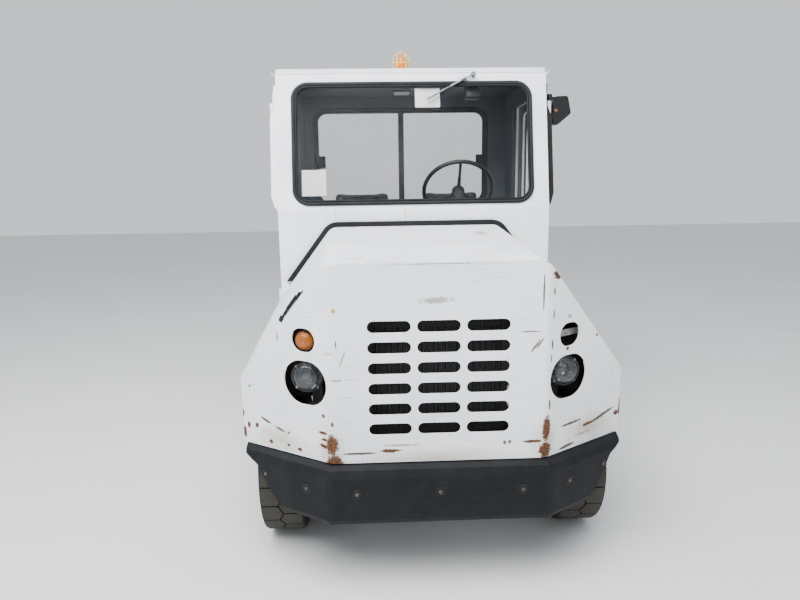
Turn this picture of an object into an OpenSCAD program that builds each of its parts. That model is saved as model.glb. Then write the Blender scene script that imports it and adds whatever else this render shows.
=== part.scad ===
/* [Body] */
// Width over the fenders and the cab walls
body_w = 1550; // [1450:10:1650]
// Thickness of the folded body sheet
sheet = 5; // [3:1:8]
// Width of the flat middle of the nose, between its two folds
nose_flat_w = 800; // [700:10:900]
// How far the outer edge of a nose corner lies behind the flat middle
corner_back = 240; // [180:10:300]
// Outer radius of the two nose folds
nose_fold_r = 50; // [30:5:80]
// Height of the lower edge of the nose panel
nose_bottom_z = 518; // [490:1:540]
// Height of the hood's flat top at the nose
hood_front_z = 1265; // [1220:5:1300]
// Height of the hood's flat top at the cab
hood_rear_z = 1318; // [1280:2:1350]
// Width of the hood's flat top at the nose, to the sharp corners
hood_front_w = 786; // [720:2:860]
// Width of the hood's flat top at the cab, to the sharp corners
hood_rear_w = 952; // [880:2:1040]
// Fall of the sloping sides, in millimetres per millimetre outwards
slope_fall = 1.32; // [1.1:0.01:1.5]
// Radius of the folds between the hood's top and its sloping sides
hood_fold_r = 70; // [30:5:90]
// Height of the lower edges of the hood
hood_edge_z = 1030; // [1000:5:1060]
// Distance from the nose to the front wall of the cab
hood_len = 1360; // [1280:10:1440]

/* [Grille] */
// Number of slots side by side
slot_cols = 3; // [2:1:4]
// Number of rows of slots
slot_rows = 6; // [3:1:7]
// Length of a slot, end to end
slot_w = 158; // [100:2:165]
// Height of a slot
slot_h = 43; // [20:1:55]
// Distance between slots side by side, centre to centre
slot_pitch_x = 181; // [175:1:200]
// Distance between rows, centre to centre
slot_pitch_z = 77.5; // [65:0.5:80]
// Height of the middle of the top row
slot_top_z = 1036; // [1020:1:1060]

/* [Lamps] */
// Height of the headlamp openings
head_z = 815; // [790:5:840]
// Height of a headlamp opening
head_h = 170; // [140:2:176]
// Width of a headlamp opening along its panel
head_w = 200; // [176:2:210]
// Height of the indicator openings
indicator_z = 979; // [960:1:1000]
// Height of an indicator opening
indicator_h = 90; // [70:2:96]
// Width of an indicator opening along its panel
indicator_w = 108; // [96:2:120]
// Distance of the lamp openings from the fold, along the corner panel
lamp_out = 116; // [112:1:130]

/* [Bumper] */
// Height of the bumper's lower edge
bumper_bottom_z = 283; // [260:1:320]
// How far the bumper stands proud of the nose
bumper_proud = 40; // [20:1:44]
// Thickness of the rubber bumper
bumper_t = 48; // [46:1:56]

/* [Cab] */
// Length of the cab over its front and rear walls
cab_len = 1060; // [1000:10:1120]
// Height of the top of the roof
roof_z = 2200; // [2150:5:2250]
// Thickness of the roof
roof_t = 26; // [20:1:35]
// Thickness of the cab walls
wall = 40; // [30:1:50]
// Height of the fold across the cab front
crease_z = 1411; // [1400:1:1425]
// Backward lean of the windshield panel, in degrees
lean = 11.2; // [8:0.1:14]
// Width of the windshield over its seal
windshield_w = 1380; // [1300:2:1400]
// Height of the windshield over its seal
windshield_h = 704; // [620:2:704]
// Gap between the fold and the windshield seal
windshield_gap = 24; // [20:1:30]
// Width of the window seals
seal_w = 32; // [25:1:40]
// Width of the rear window over its seal
rear_window_w = 1256; // [1100:2:1260]
// Height of the rear window over its seal
rear_window_h = 690; // [600:2:700]
// Sideways offset of the rear window
rear_window_x = -30; // [-40:1:0]
// How far the drip gutters reach out from the cab sides
gutter_reach = 27; // [15:1:35]
// How far the strips beside the windshield stand out from the cab sides
strip_reach = 42; // [20:1:45]

/* [Doors] */
// Thickness of a door
door_t = 25; // [20:1:35]
// Gap between a door and the cab wall
door_gap = 5; // [5:1:8]
// Distance from the cab's front wall to the front edge of a door
door_back = 192; // [185:1:200]
// Length of a door
door_len = 636; // [600:2:650]
// Height of the top of the doors
door_top_z = 2080; // [2040:5:2100]
// How far the mirror reaches out from the cab wall
mirror_reach = 172; // [150:1:180]

/* [Wheels] */
// Outer radius of a tyre
tyre_r = 320; // [300:1:325]
// Width of a tyre
tyre_w = 185; // [160:1:190]
// Radius of the rim's bead seat
rim_r = 152; // [140:1:165]
// How far the tyres stand back from the body's side
tyre_inset = 40; // [35:1:50]
// Distance from the nose to the front axle
front_axle_y = 530; // [520:5:600]
// Distance between the axles
wheelbase = 1810; // [1780:5:1850]
// Distance of a kingpin from the middle of its tyre
kingpin_offset = 100; // [92:1:110]
// Radius of the wheel spindles
spindle_r = 24; // [20:1:30]
// Radius of the kingpins
kingpin_r = 14; // [10:1:18]

/* [Chassis] */
// Distance between the middles of the frame rails
rail_pitch = 600; // [540:10:600]
// Width of a rail
rail_w = 70; // [50:2:80]
// Height of a rail
rail_h = 120; // [100:5:140]
// Height of the top of the rails, under the cab floor
rail_top_z = 590; // [570:5:620]
// Length of the deck behind the cab
deck_len = 570; // [500:10:650]
// Height of the rear deck
deck_z = 950; // [900:10:1000]
// Thickness of the rear plate
rear_plate_t = 30; // [20:1:40]
// Radius of the hitch pin
hitch_pin_r = 16; // [12:1:20]
// Gap between the two jaws of the hitch
hitch_gap = 90; // [70:2:100]
// Height of the middle of the hitch
hitch_z = 400; // [380:5:420]

/* [Seats] */
// Width of a seat
seat_w = 430; // [400:5:450]
// Height of the top of the seat cushions
seat_z = 1050; // [1020:5:1070]
// Height of the top of the seat backs
seat_top_z = 1525; // [1490:5:1540]
// Distance of each seat's middle from the centre plane
seat_x = 320; // [300:5:340]

/* [Steering] */
// Radius of the steering wheel over its rim
wheel_r = 230; // [200:5:235]
// Radius of the steering wheel's rim section
rim_section_r = 13; // [10:1:16]
// Distance of the steering wheel from the centre plane
wheel_x = 305; // [295:1:320]
// Height of the middle of the steering wheel
wheel_z = 1512; // [1495:1:1530]
// Distance of the steering wheel's middle behind the cab's front wall
wheel_back = 428; // [400:2:450]
// Angle of the steering wheel from level, in degrees
wheel_tilt = 52; // [40:1:60]

/* [Hidden] */
$fn = 48;

// Clearances: a pin in its bore, a piece on its seat, faces that slide, edges that pass
pin_gap = 0.08;
seat_gap = 0.3;
face_gap = 0.5;
edge_gap = 6;
// How far one part of a welded piece sinks into the next, and a cut runs past a face
sink = 2;
past = 20;

// Sides of the vehicle: left is where the driver sits
LEFT = 1;
RIGHT = -1;

white = "#e6e9ec";
black = "#26282a";
rubber = "#17181a";

half_w = body_w / 2;
cab_rear_y = hood_len + cab_len;
rear_y = cab_rear_y + deck_len;
door_x = half_w + door_gap;
door_out_x = door_x + door_t;
mirror_out_x = half_w + mirror_reach;
rail_bottom_z = rail_top_z - rail_h;
rail_out_x = (rail_pitch + rail_w) / 2;
rear_axle_y = front_axle_y + wheelbase;
axle_z = tyre_r;
track = body_w - 2 * tyre_inset - tyre_w;
kingpin_w = track - 2 * kingpin_offset;
floor_t = sheet;
floor_z = rail_top_z + floor_t;
wall_top_z = roof_z - roof_t;
// How far the raked upper part of the cab's front leans back at a height
function rake(z) = (z - crease_z) * tan(lean);
cab_bottom_z = rail_top_z - 90;

// Door hinges: the axis stands just outside the door's front edge
door_hinge_r = 9;
door_hinge_pin_r = 5;
door_hinge_out = 7;
door_hinge_x = door_out_x + door_hinge_out;
door_front_y = hood_len + door_back;
door_hinge_y = door_front_y - 8;
door_bottom_z = rail_top_z - edge_gap;
door_hinge_h = 120;
door_hinge_zs = [875, 1960];
door_leaf_w = 34;
clamp_r = 14;
hinge_out_x = door_hinge_x + door_hinge_r;

// The hitch: two jaws behind the rear plate, and its pin
hitch_reach = 110;
jaw_t = 20;
jaw_w = 150;

// The origin is under the middle of everything, from the mirror to the far door's handle
function origin_x() = (mirror_out_x - (door_out_x + handle_out + handle_r)) / 2;
function origin_y() = (rear_y + hitch_reach - bumper_proud) / 2;

// Folds of the body
nose_angle = atan(corner_back / (half_w - nose_flat_w / 2));
slope_angle = atan(slope_fall);
slope_len = sqrt(1 + slope_fall * slope_fall);

function mix(a, b, t) = a + (b - a) * t;
function hood_half(y) = mix(hood_front_w, hood_rear_w, y / hood_len) / 2;
function hood_top(y) = mix(hood_front_z, hood_rear_z, y / hood_len);
// Height of the sloping side at a distance from the nose and the centre plane
function slope_z(x, y) = hood_top(y) - (x - hood_half(y)) * slope_fall;
// Distance of the sloping side from the centre plane at a height
function slope_x(z, y) = hood_half(y) + (hood_top(y) - z) / slope_fall;

function reversed(list) = [for (i = [len(list) - 1:-1:0]) list[i]];
function mirrored(list) = [for (p = reversed(list)) [-p[0], p[1]]];

fold_steps = 6;
// Half of the nose's plan, moved inwards by in, from the middle to x = out
function nose_half(in, out) =
    let (r = nose_fold_r, b = nose_angle, x0 = nose_flat_w / 2,
         cx = x0 - r * tan(b / 2),
         t = (out - x0 + in * sin(b)) / cos(b))
    concat([for (i = [0:fold_steps]) let (a = b * i / fold_steps)
                [cx + (r - in) * sin(a), r - (r - in) * cos(a)]],
           [[out, in * cos(b) + t * sin(b)]]);
function nose_path(in, out = half_w) =
    concat(mirrored(nose_half(in, out)), nose_half(in, out));
// A band that follows the nose, between two distances behind its face
function nose_band(near, far, out) =
    concat(nose_path(near, out), reversed(nose_path(far, out)));

// A point on a corner panel: s along it from the fold
function corner_point(s) =
    [nose_flat_w / 2 + s * cos(nose_angle), s * sin(nose_angle)];

fender_bottom_z = 430;

// Half of the body's section at y, moved inwards by in, from the middle down
function body_half(y, in) =
    let (r = hood_fold_r, cx = hood_half(y) - r * tan(slope_angle / 2),
         cz = hood_top(y) - r, x1 = half_w - in)
    concat([for (i = [0:fold_steps]) let (a = slope_angle * i / fold_steps)
                [cx + (r - in) * sin(a), cz + (r - in) * cos(a)]],
           [[x1, slope_z(x1, y) - in * slope_len], [x1, fender_bottom_z - past]]);
function body_section(y, in) = concat(mirrored(body_half(y, in)), body_half(y, in));

// The places and drawings that several pieces share

module placed() translate([-origin_x(), -origin_y(), 0]) children();

// Extrudes a drawing in the x-z plane from y = y0 to y1
module along_y(y0, y1)
    translate([0, y1, 0]) rotate([90, 0, 0]) linear_extrude(y1 - y0) children();

// Extrudes a drawing in the y-z plane from x = x0 to x1
module along_x(x0, x1)
    translate([x0, 0, 0]) rotate([90, 0, 90]) linear_extrude(x1 - x0) children();

module on_side(side) mirror([side == LEFT ? 0 : 1, 0, 0]) children();

module both_sides() for (side = [LEFT, RIGHT]) on_side(side) children();

// A bar along x, from x = 0
module bar_x(r, l) rotate([0, 90, 0]) cylinder(r = r, h = l);

// A disc or bar along x, with its middle at x = 0
module disc_x(r, l) rotate([0, 90, 0]) cylinder(r = r, h = l, center = true);

module round_rect(w, h, r) {
    square([w - 2 * r, h], center = true);
    square([w, h - 2 * r], center = true);
    for (x = [-1, 1], y = [-1, 1])
        translate([x * (w / 2 - r), y * (h / 2 - r)]) circle(r);
}

module ring(w, h, r, t) difference() {
    round_rect(w, h, r);
    round_rect(w - 2 * t, h - 2 * t, r - t);
}

module slot_shape(w, h) {
    square([w - h, h], center = true);
    for (x = [-1, 1]) translate([x * (w - h) / 2, 0]) circle(d = h);
}

// Everything above a height, and everything ahead of or behind a distance
module above(z) translate([-body_w, -body_w, z]) cube([2 * body_w, rear_y + 2 * body_w, roof_z]);
module below(z) translate([-body_w, -body_w, z - roof_z]) cube([2 * body_w, rear_y + 2 * body_w, roof_z]);
module behind(y) translate([-body_w, y, 0]) cube([2 * body_w, rear_y, 2 * roof_z]);

// The solid form of hood and fenders, moved inwards by in
module body_form(in) {
    y0 = -3 * past;
    a = body_section(y0, in);
    b = body_section(hood_len, in);
    n = len(a);
    polyhedron(
        points = concat([for (p = a) [p[0], y0, p[1]]],
                        [for (p = b) [p[0], hood_len, p[1]]]),
        faces = concat([[for (i = [0:n - 1]) i]], [[for (i = [n - 1:-1:0]) i + n]],
                       [for (i = [0:n - 1]) [i, i + n, (i + 1) % n + n, (i + 1) % n]]),
        convexity = 6);
}

// Everything ahead of the nose's plan, moved inwards by in
module ahead_of_nose(in) linear_extrude(roof_z)
    polygon(concat(nose_path(in, half_w + past),
                   [[half_w + past, -corner_back], [-half_w - past, -corner_back]]));

// What both corner panels bound, drawn as for the flat middle of the nose
module for_both_corners() intersection_for(side = [LEFT, RIGHT]) on_side(side)
    translate([nose_flat_w / 2, 0, 0]) rotate([0, 0, nose_angle]) children();

// Moves to a point on a corner panel, x along it and z out of it
module on_corner(side, s, z) on_side(side)
    translate([corner_point(s)[0], corner_point(s)[1], z])
        rotate([90, 0, nose_angle]) children();

// Moves to the foot of the windshield panel, which leans back
module on_windshield() translate([0, hood_len, crease_z]) rotate([-lean, 0, 0]) children();

windshield_mid = windshield_gap + windshield_h / 2;
windshield_top = windshield_gap + windshield_h;
window_r = 96;
rear_window_top_z = 2095;
rear_window_z = rear_window_top_z - rear_window_h / 2;
seal_proud = 8;
glass_t = 6;

// The opening that a window's seal and glass fill
module opening(w, h, r, gap = 0)
    round_rect(w - seal_w - 2 * gap, h - seal_w - 2 * gap, r - seal_w / 2 - gap);

// Chassis

spring_len = 640;
spring_w = 60;
spring_leaf_t = 9;
spring_leaves = 3;
spring_eye_r = 20;
shackle_w = 24;
axle_half_h = 35;
spring_z = axle_z + axle_half_h;
front_plate_in = bumper_t - bumper_proud;
front_plate_t = 12;
front_plate_far = front_plate_in + front_plate_t;
// The plate ends inside the front tyres' path
front_plate_out = kingpin_w / 2 - 5;
front_plate_top_z = nose_bottom_z + 30;
cross_len = 60;
cross_lip = 20;
engine_y = 360;
engine_len = 790;
cross_ys = [200, engine_y + engine_len + 100, (hood_len + rear_axle_y) / 2, rear_axle_y + 350];
step_z = 330;
step_len = 380;
step_in_x = half_w - 245;
step_out_x = half_w - 15;
step_lip = 30;
rear_arch_r = 400;
step_y = rear_axle_y - rear_arch_r - 60 - step_len;

module rail() translate([rail_out_x - rail_w, front_plate_far, rail_bottom_z])
    cube([rail_w, rear_y - rear_plate_t - front_plate_far, rail_h]);

// A stack of leaves on an axle, with an eye and a shackle at each end under the rail
module leaf_spring(y) translate([rail_pitch / 2, y, spring_z]) {
    for (i = [0:spring_leaves - 1]) let (l = spring_len * (1 - i * 0.28))
        translate([-spring_w / 2, -l / 2, i * spring_leaf_t]) cube([spring_w, l, spring_leaf_t]);
    for (s = [-1, 1]) translate([0, s * spring_len / 2, 0]) {
        translate([0, 0, spring_leaf_t / 2]) disc_x(spring_eye_r, spring_w);
        translate([-shackle_w / 2, -shackle_w / 2, 0])
            cube([shackle_w, shackle_w, rail_bottom_z - spring_z]);
    }
}

// A step below a door: an open pan with a folded edge, on two hangers from the rail
module side_step() {
    translate([step_in_x, step_y, step_z - step_lip]) difference() {
        cube([step_out_x - step_in_x, step_len, step_lip]);
        translate([sheet, sheet, -1])
            cube([step_out_x - step_in_x - 2 * sheet, step_len - 2 * sheet, step_lip - sheet + 1]);
        for (i = [1:4]) translate([(step_out_x - step_in_x) / 2, step_len * i / 5, 0])
            linear_extrude(2 * step_lip) slot_shape(step_out_x - step_in_x - 60, 36);
    }
    for (y = [step_y + sheet, step_y + step_len - sheet - 8]) along_y(y, y + 8)
        polygon([[rail_out_x, rail_top_z - 20], [rail_out_x, rail_bottom_z],
                 [step_in_x - 60, step_z - step_lip], [step_in_x + sink, step_z - step_lip],
                 [step_in_x + sink, step_z], [step_in_x - 40, step_z],
                 [rail_out_x + 30, rail_top_z - 20]]);
}

module chassis_frame() placed() color(black) {
    both_sides() {
        rail();
        for (y = [front_axle_y, rear_axle_y]) leaf_spring(y);
        side_step();
    }
    for (y = cross_ys) translate([-rail_pitch / 2, y, rail_bottom_z + cross_lip])
        cube([rail_pitch, cross_len, rail_h - 2 * cross_lip]);
    // The bent plate that carries the bumper, with a flange against the nose
    translate([0, 0, bumper_bottom_z + past]) linear_extrude(front_plate_top_z - bumper_bottom_z - past)
        polygon(nose_band(front_plate_in, front_plate_far, front_plate_out));
    translate([0, 0, front_plate_top_z - front_plate_t]) linear_extrude(front_plate_t)
        polygon(nose_band(sheet, front_plate_far, front_plate_out));
}

// The engine is one plain block, held between the rails
engine_w = rail_pitch - rail_w;
engine_h = 480;
engine_z = rail_bottom_z + 60;

module engine_block() placed() color("#3a3f3c")
    translate([-engine_w / 2, engine_y, engine_z]) cube([engine_w, engine_len, engine_h]);

// The radiator stands on the rails: a tank above and below a core of upright tubes
radiator_y = 110;
radiator_w = 550;
radiator_t = 60;
radiator_h = 470;
radiator_tank_h = 50;
radiator_tubes = 11;
core_in = 21;

module radiator() placed() color("#1c1d1e") translate([-radiator_w / 2, radiator_y, rail_top_z]) {
    difference() {
        cube([radiator_w, radiator_t, radiator_h]);
        translate([radiator_tank_h / 2, -1, radiator_tank_h])
            cube([radiator_w - radiator_tank_h, core_in + 1, radiator_h - 2 * radiator_tank_h]);
    }
    for (i = [0:radiator_tubes - 1])
        translate([radiator_tank_h + i * (radiator_w - 2 * radiator_tank_h) / (radiator_tubes - 1),
                   core_in, radiator_tank_h - sink])
            cylinder(r = 8, h = radiator_h - 2 * radiator_tank_h + 2 * sink, $fn = 24);
}

// Nose and bumper

module nose_panel() placed() color("#e9ebec") difference() {
    intersection() {
        translate([0, 0, nose_bottom_z]) linear_extrude(hood_front_z)
            polygon(nose_band(0, sheet, half_w));
        body_form(0);
    }
    along_y(-past, nose_fold_r)
        for (col = [0:slot_cols - 1], row = [0:slot_rows - 1])
            translate([(col - (slot_cols - 1) / 2) * slot_pitch_x,
                       slot_top_z - row * slot_pitch_z])
                slot_shape(slot_w, slot_h);
    for (side = [LEFT, RIGHT]) {
        on_corner(side, lamp_out, head_z) linear_extrude(4 * past, center = true)
            slot_shape(head_w, head_h);
        on_corner(side, lamp_out, indicator_z) linear_extrude(4 * past, center = true)
            slot_shape(indicator_w, indicator_h);
    }
}

bumper_top_z = nose_bottom_z - 4;
bumper_out = half_w - 14;
bumper_h = bumper_top_z - bumper_bottom_z;

// The bumper's section: a flat face between a bevelled top and a rounded lower edge
module bumper_section() translate([-bumper_proud, bumper_bottom_z])
    polygon([[0, 25], [8, 8], [22, 0], [2 * body_w, 0], [2 * body_w, bumper_h],
             [32, bumper_h], [10, bumper_h - 12], [0, bumper_h - 40]]);

// Where the lower outer corner is cut away: along the bumper's face and up it
bumper_cut = [[200, -1], [148, 22], [95, 90], [50, 172], [-1, 206]];

module front_bumper() placed() color(rubber) difference() {
    intersection() {
        translate([0, 0, bumper_bottom_z - past]) linear_extrude(bumper_h + 2 * past)
            polygon(nose_band(-bumper_proud, front_plate_in, bumper_out));
        along_x(-body_w, body_w) bumper_section();
        for_both_corners() along_x(-2 * body_w, body_w) bumper_section();
    }
    both_sides() along_y(-body_w, body_w) polygon(concat(
        [[bumper_out - bumper_cut[0][0], bumper_bottom_z - 4 * past]],
        [for (p = bumper_cut) [bumper_out - p[0], bumper_bottom_z + p[1]]],
        [[bumper_out + 1, bumper_bottom_z - 4 * past]]));
}

// Hood hinges: the axis runs along the hood's lower edge on the driver's side
hood_hinge_gap = 14;
hood_hinge_r = 6.5;
hood_hinge_pin_r = 3.5;
hood_hinge_l = 90;
hood_leaf_t = 3;
hood_leaf_w = 34;
hood_hinge_ys = [330, hood_len - 600, hood_len - 170];
hood_yaw = atan((slope_x(hood_edge_z, hood_len) - slope_x(hood_edge_z, 0)) / hood_len);
hood_axis_z = hood_edge_z - hood_hinge_gap / 2;

// Turns x down the slope of the left side, and z out of it
module on_slope()
    rotate([0, 0, -hood_yaw]) rotate([0, atan(slope_fall / cos(hood_yaw)), 0]) children();

module on_hood_hinge(y)
    translate([slope_x(hood_axis_z, y), y, hood_axis_z]) on_slope() children();

// Half of a hinge: the fixed half carries the pin, the moving half turns about it
module hinge_half(moving) {
    third = hood_hinge_l / 3;
    barrel = third - 2 * face_gap;
    difference() {
        for (k = moving ? [0] : [-1, 1]) translate([0, k * third, 0]) {
            rotate([90, 0, 0]) cylinder(r = hood_hinge_r, h = barrel, center = true);
            translate([moving ? -hood_leaf_w : 0, -barrel / 2, -sheet / 2])
                cube([hood_leaf_w, barrel, hood_leaf_t + sheet / 2]);
        }
        if (moving) rotate([90, 0, 0])
            cylinder(r = hood_hinge_pin_r + pin_gap, h = hood_hinge_l, center = true);
    }
    if (!moving) rotate([90, 0, 0]) cylinder(r = hood_hinge_pin_r, h = hood_hinge_l, center = true);
}

// Fenders

arch_r = 405;
arch_lip = 25;
arch_lip_t = 5;

module fender(side) {
    gap = side == LEFT ? hood_hinge_gap : edge_gap;
    difference() {
        body_form(0);
        body_form(sheet);
        ahead_of_nose(sheet);
        above(hood_edge_z - gap);
        below(fender_bottom_z);
        on_side(-side) translate([0, -past, 0]) cube([body_w, rear_y, roof_z]);
        translate([0, front_axle_y, axle_z]) disc_x(arch_r, 2 * body_w);
    }
    // The turned-in lip round the wheel arch
    difference() {
        on_side(side) translate([half_w - arch_lip / 2, front_axle_y, axle_z]) difference() {
            disc_x(arch_r + arch_lip_t, arch_lip);
            disc_x(arch_r, 2 * arch_lip);
        }
        ahead_of_nose(sheet);
        below(fender_bottom_z);
    }
}

module fender_left() placed() color("#e9ebec") difference() {
    union() {
        fender(LEFT);
        for (y = hood_hinge_ys) on_hood_hinge(y) hinge_half(false);
    }
    for (y = hood_hinge_ys) on_hood_hinge(y) rotate([90, 0, 0])
        cylinder(r = hood_hinge_r + face_gap, h = hood_hinge_l / 3, center = true);
}

module fender_right() placed() color("#e9ebec") fender(RIGHT);

// Hood

seal_depth = 28;
hood_rear_y = hood_len - seal_depth - edge_gap;

module hood() placed() color("#eef0f1") {
    difference() {
        body_form(0);
        body_form(sheet);
        ahead_of_nose(sheet + edge_gap);
        below(hood_edge_z);
        behind(hood_rear_y);
    }
    for (y = hood_hinge_ys) on_hood_hinge(y) hinge_half(true);
}

// The draw latch on the passenger's side: x runs down the slope, z out of it
latch_y = 190;
latch_w = 34;
latch_x = -138;

module hood_latch() placed() color("#2b2b2b") on_side(RIGHT)
    translate([slope_x(hood_edge_z, latch_y), latch_y, hood_edge_z]) on_slope() {
        // Clip and bolt
        translate([latch_x, -latch_w / 2, 0]) cube([40, latch_w, 4]);
        translate([latch_x + 18, 0, 0]) cylinder(r = 9, h = 12, $fn = 24);
        // Body that narrows towards the loop
        translate([latch_x + 30, 0, 3]) linear_extrude(13)
            polygon([[0, -latch_w / 2], [0, latch_w / 2], [62, latch_w / 3], [62, -latch_w / 3]]);
        translate([latch_x + 100, 0, 3]) difference() {
            cylinder(r = 17, h = 10);
            translate([0, 0, -1]) cylinder(r = 9, h = 12);
        }
        // Strap and its cross bar
        translate([latch_x + 114, -9, 3]) cube([latch_w - 12, 18, 8]);
        translate([latch_x + 136, 0, 8]) rotate([90, 0, 0]) cylinder(r = 8, h = 52, center = true);
    }

// The rubber strip on the cab front, around the rear end of the hood
seal_h = 26;
seal_under = 10;
seal_end_z = 1012;

module hood_seal() placed() color("#1b1c1e") along_y(hood_len - seal_depth, hood_len)
    difference() {
        polygon(body_section(hood_len, -seal_h));
        polygon(body_section(hood_len, seal_under));
        translate([-body_w, 0]) square([2 * body_w, seal_end_z]);
        // Beside the fenders it lies on their faces
        intersection() {
            polygon(body_section(hood_len, -seat_gap));
            translate([-body_w, 0]) square([2 * body_w, hood_edge_z]);
        }
    }

// Lamps

lamp_depth = 75;
strip_t = 3;
foot_out = 14;
// A bent strip behind an opening, with its two feet on the panel's inner face
module lamp_strip(h, w, depth) {
    for (s = [-1, 1]) translate([-w / 2, s * (h / 2 + foot_out) - strip_t / 2, -depth])
        cube([w, strip_t, depth - sheet]);
    translate([-w / 2, -h / 2 - foot_out, -depth]) cube([w, h + 2 * foot_out, strip_t]);
}

// A round lamp: a deep bowl, a ring, and a lens that bulges by dome
module lamp(r, depth, dome) rotate_extrude($fn = 64) polygon(concat(
    [[0, -depth], [r * 0.3, -depth], [r * 0.72, -depth * 0.62], [r * 0.95, -depth * 0.2],
     [r, 0], [r + 6, 0], [r + 6, 9], [r + 2, 12], [r, 12]],
    [for (i = [1:6]) [r * cos(15 * i), 12 + dome * sin(15 * i)]]));

headlamp_r = 68;
lamp_shift = -15;

module headlamps() placed() color("#c9ccd0") {
    for (side = [LEFT, RIGHT]) on_corner(side, lamp_out, head_z) {
        lamp_strip(head_h, 50, lamp_depth);
        translate([lamp_shift, lamp_shift, -lamp_depth]) lamp(headlamp_r, 55, 14);
    }
    // The empty indicator opening keeps its strip, which lies across it
    on_corner(LEFT, lamp_out, indicator_z) rotate([0, 0, 90]) lamp_strip(indicator_w, 26, 30);
}

module indicator_lamp() placed() color("#d9720f") on_corner(RIGHT, lamp_out, indicator_z) {
    lamp_strip(indicator_h, 30, 40);
    translate([0, 0, -36]) lamp(34, 10, 12);
}

// Cab

// The cab's front is vertical up to the fold, and leans back above it
function front_line(in) = [[hood_len + in, cab_bottom_z], [hood_len + in, crease_z],
    [hood_len + in + rake(wall_top_z), wall_top_z]];

wiper_x = 352;
wiper_t = windshield_top + 34;
wiper_shaft_r = 6;

module cab_front() placed() color(white) difference() {
    along_x(-half_w, half_w) polygon(concat(front_line(0), reversed(front_line(wall))));
    on_windshield() {
        along_y(-4 * past, 4 * past) translate([0, windshield_mid])
            opening(windshield_w, windshield_h, window_r);
        translate([wiper_x, 0, wiper_t]) rotate([90, 0, 0])
            cylinder(r = wiper_shaft_r + pin_gap, h = 8 * past, center = true);
    }
    both_sides() translate([rail_out_x - rail_w - seat_gap, 0, 0])
        cube([rail_w + 2 * seat_gap, rear_y, rail_top_z + seat_gap]);
}

cab_rear_bottom_z = rail_top_z + 170;

module cab_rear() placed() color(white) difference() {
    translate([-half_w, cab_rear_y - wall, cab_rear_bottom_z])
        cube([body_w, wall, wall_top_z - cab_rear_bottom_z]);
    along_y(cab_rear_y - wall - past, cab_rear_y + past) translate([rear_window_x, rear_window_z])
        opening(rear_window_w, rear_window_h, window_r);
}

side_bottom_z = 500;
doorway_inset = 20;
arch_to_door = 30;

module door_outline(inset) difference() {
    translate([door_front_y + inset, door_bottom_z + inset])
        square([door_len - 2 * inset, door_top_z - door_bottom_z - 2 * inset]);
    translate([rear_axle_y, axle_z]) circle(r = rear_arch_r + arch_to_door + inset);
}

strip_back = 44;
strip_w = 6;
// It narrows below the mirror's clamp
strip_top_reach = door_hinge_x - clamp_r - 3 - half_w;
strip_step_t = (door_hinge_zs[1] - crease_z) / cos(lean) - 20;

// The strip beside the windshield, along its raked edge, pointed at its lower end
module pillar_strip(side) on_side(side) on_windshield() along_y(strip_back, strip_back + strip_w)
    polygon([[half_w, 0], [half_w + strip_reach * 0.6, 30], [half_w + strip_reach, 90],
             [half_w + strip_reach, strip_step_t], [half_w + strip_top_reach, strip_step_t + 50],
             [half_w + strip_top_reach, windshield_top], [half_w, windshield_top]]);

// Half of a door hinge: three barrels on one pin, the middle one on the door
module door_hinge(moving) {
    third = door_hinge_h / 3;
    barrel = third - 2 * face_gap;
    translate([door_hinge_x, door_hinge_y, 0]) {
        for (k = moving ? [0] : [-1, 1]) translate([0, 0, k * third])
            cylinder(r = door_hinge_r, h = barrel, center = true);
        if (!moving) cylinder(r = door_hinge_pin_r, h = door_hinge_h, center = true);
    }
    if (moving) translate([door_out_x - sink, door_hinge_y, -barrel / 2])
        cube([door_hinge_x - door_out_x + sink, door_leaf_w, barrel]);
    else for (k = [-1, 1])
        translate([half_w - sink, door_hinge_y - door_hinge_r, k * third - barrel / 2])
            cube([door_hinge_x - half_w + sink, door_hinge_r, barrel]);
}

module cab_side(side) on_side(side) {
    along_x(half_w - wall, half_w) difference() {
        polygon([[hood_len + wall, side_bottom_z], [hood_len + wall, crease_z],
            [hood_len + wall + rake(wall_top_z), wall_top_z],
            [cab_rear_y - wall, wall_top_z], [cab_rear_y - wall, side_bottom_z]]);
        door_outline(doorway_inset);
        translate([rear_axle_y, axle_z]) circle(r = rear_arch_r);
    }
    for (z = door_hinge_zs) translate([0, 0, z]) door_hinge(false);
}

module cab_side_left() placed() color(white) cab_side(LEFT);

module cab_side_right() placed() color(white) {
    cab_side(RIGHT);
    pillar_strip(RIGHT);
}

roof_front_y = hood_len + rake(wall_top_z) - 3;
gutter_t = 3;
gutter_drop = 15;

// A drip gutter's section: a leg on the wall and a lip that turns up and out
module gutter_section() translate([half_w, wall_top_z - gutter_drop]) polygon([
    [0, 0], [gutter_t, 0], [gutter_reach, gutter_drop + 8], [gutter_reach - 2, gutter_drop + 11],
    [gutter_t, gutter_t + 2], [gutter_t, gutter_drop + roof_t - 4], [0, gutter_drop + roof_t - 4]]);

module cab_roof() placed() color("#eceef0") {
    translate([0, (roof_front_y + cab_rear_y) / 2, wall_top_z]) linear_extrude(roof_t)
        round_rect(body_w, cab_rear_y - roof_front_y, 15);
    both_sides() along_y(roof_front_y + past, cab_rear_y - past) gutter_section();
}

seat_box_len = 420;
seat_box_y = cab_rear_y - wall - seat_box_len;
seat_box_top_z = 920;

module cab_floor() placed() color("#3b3d3f")
    translate([-half_w + wall, hood_len + wall, rail_top_z])
        cube([body_w - 2 * wall, seat_box_y - hood_len - wall, floor_t]);

// The rear window is two panes, parted by an upright rubber bar
window_bar_w = 40;

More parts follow.
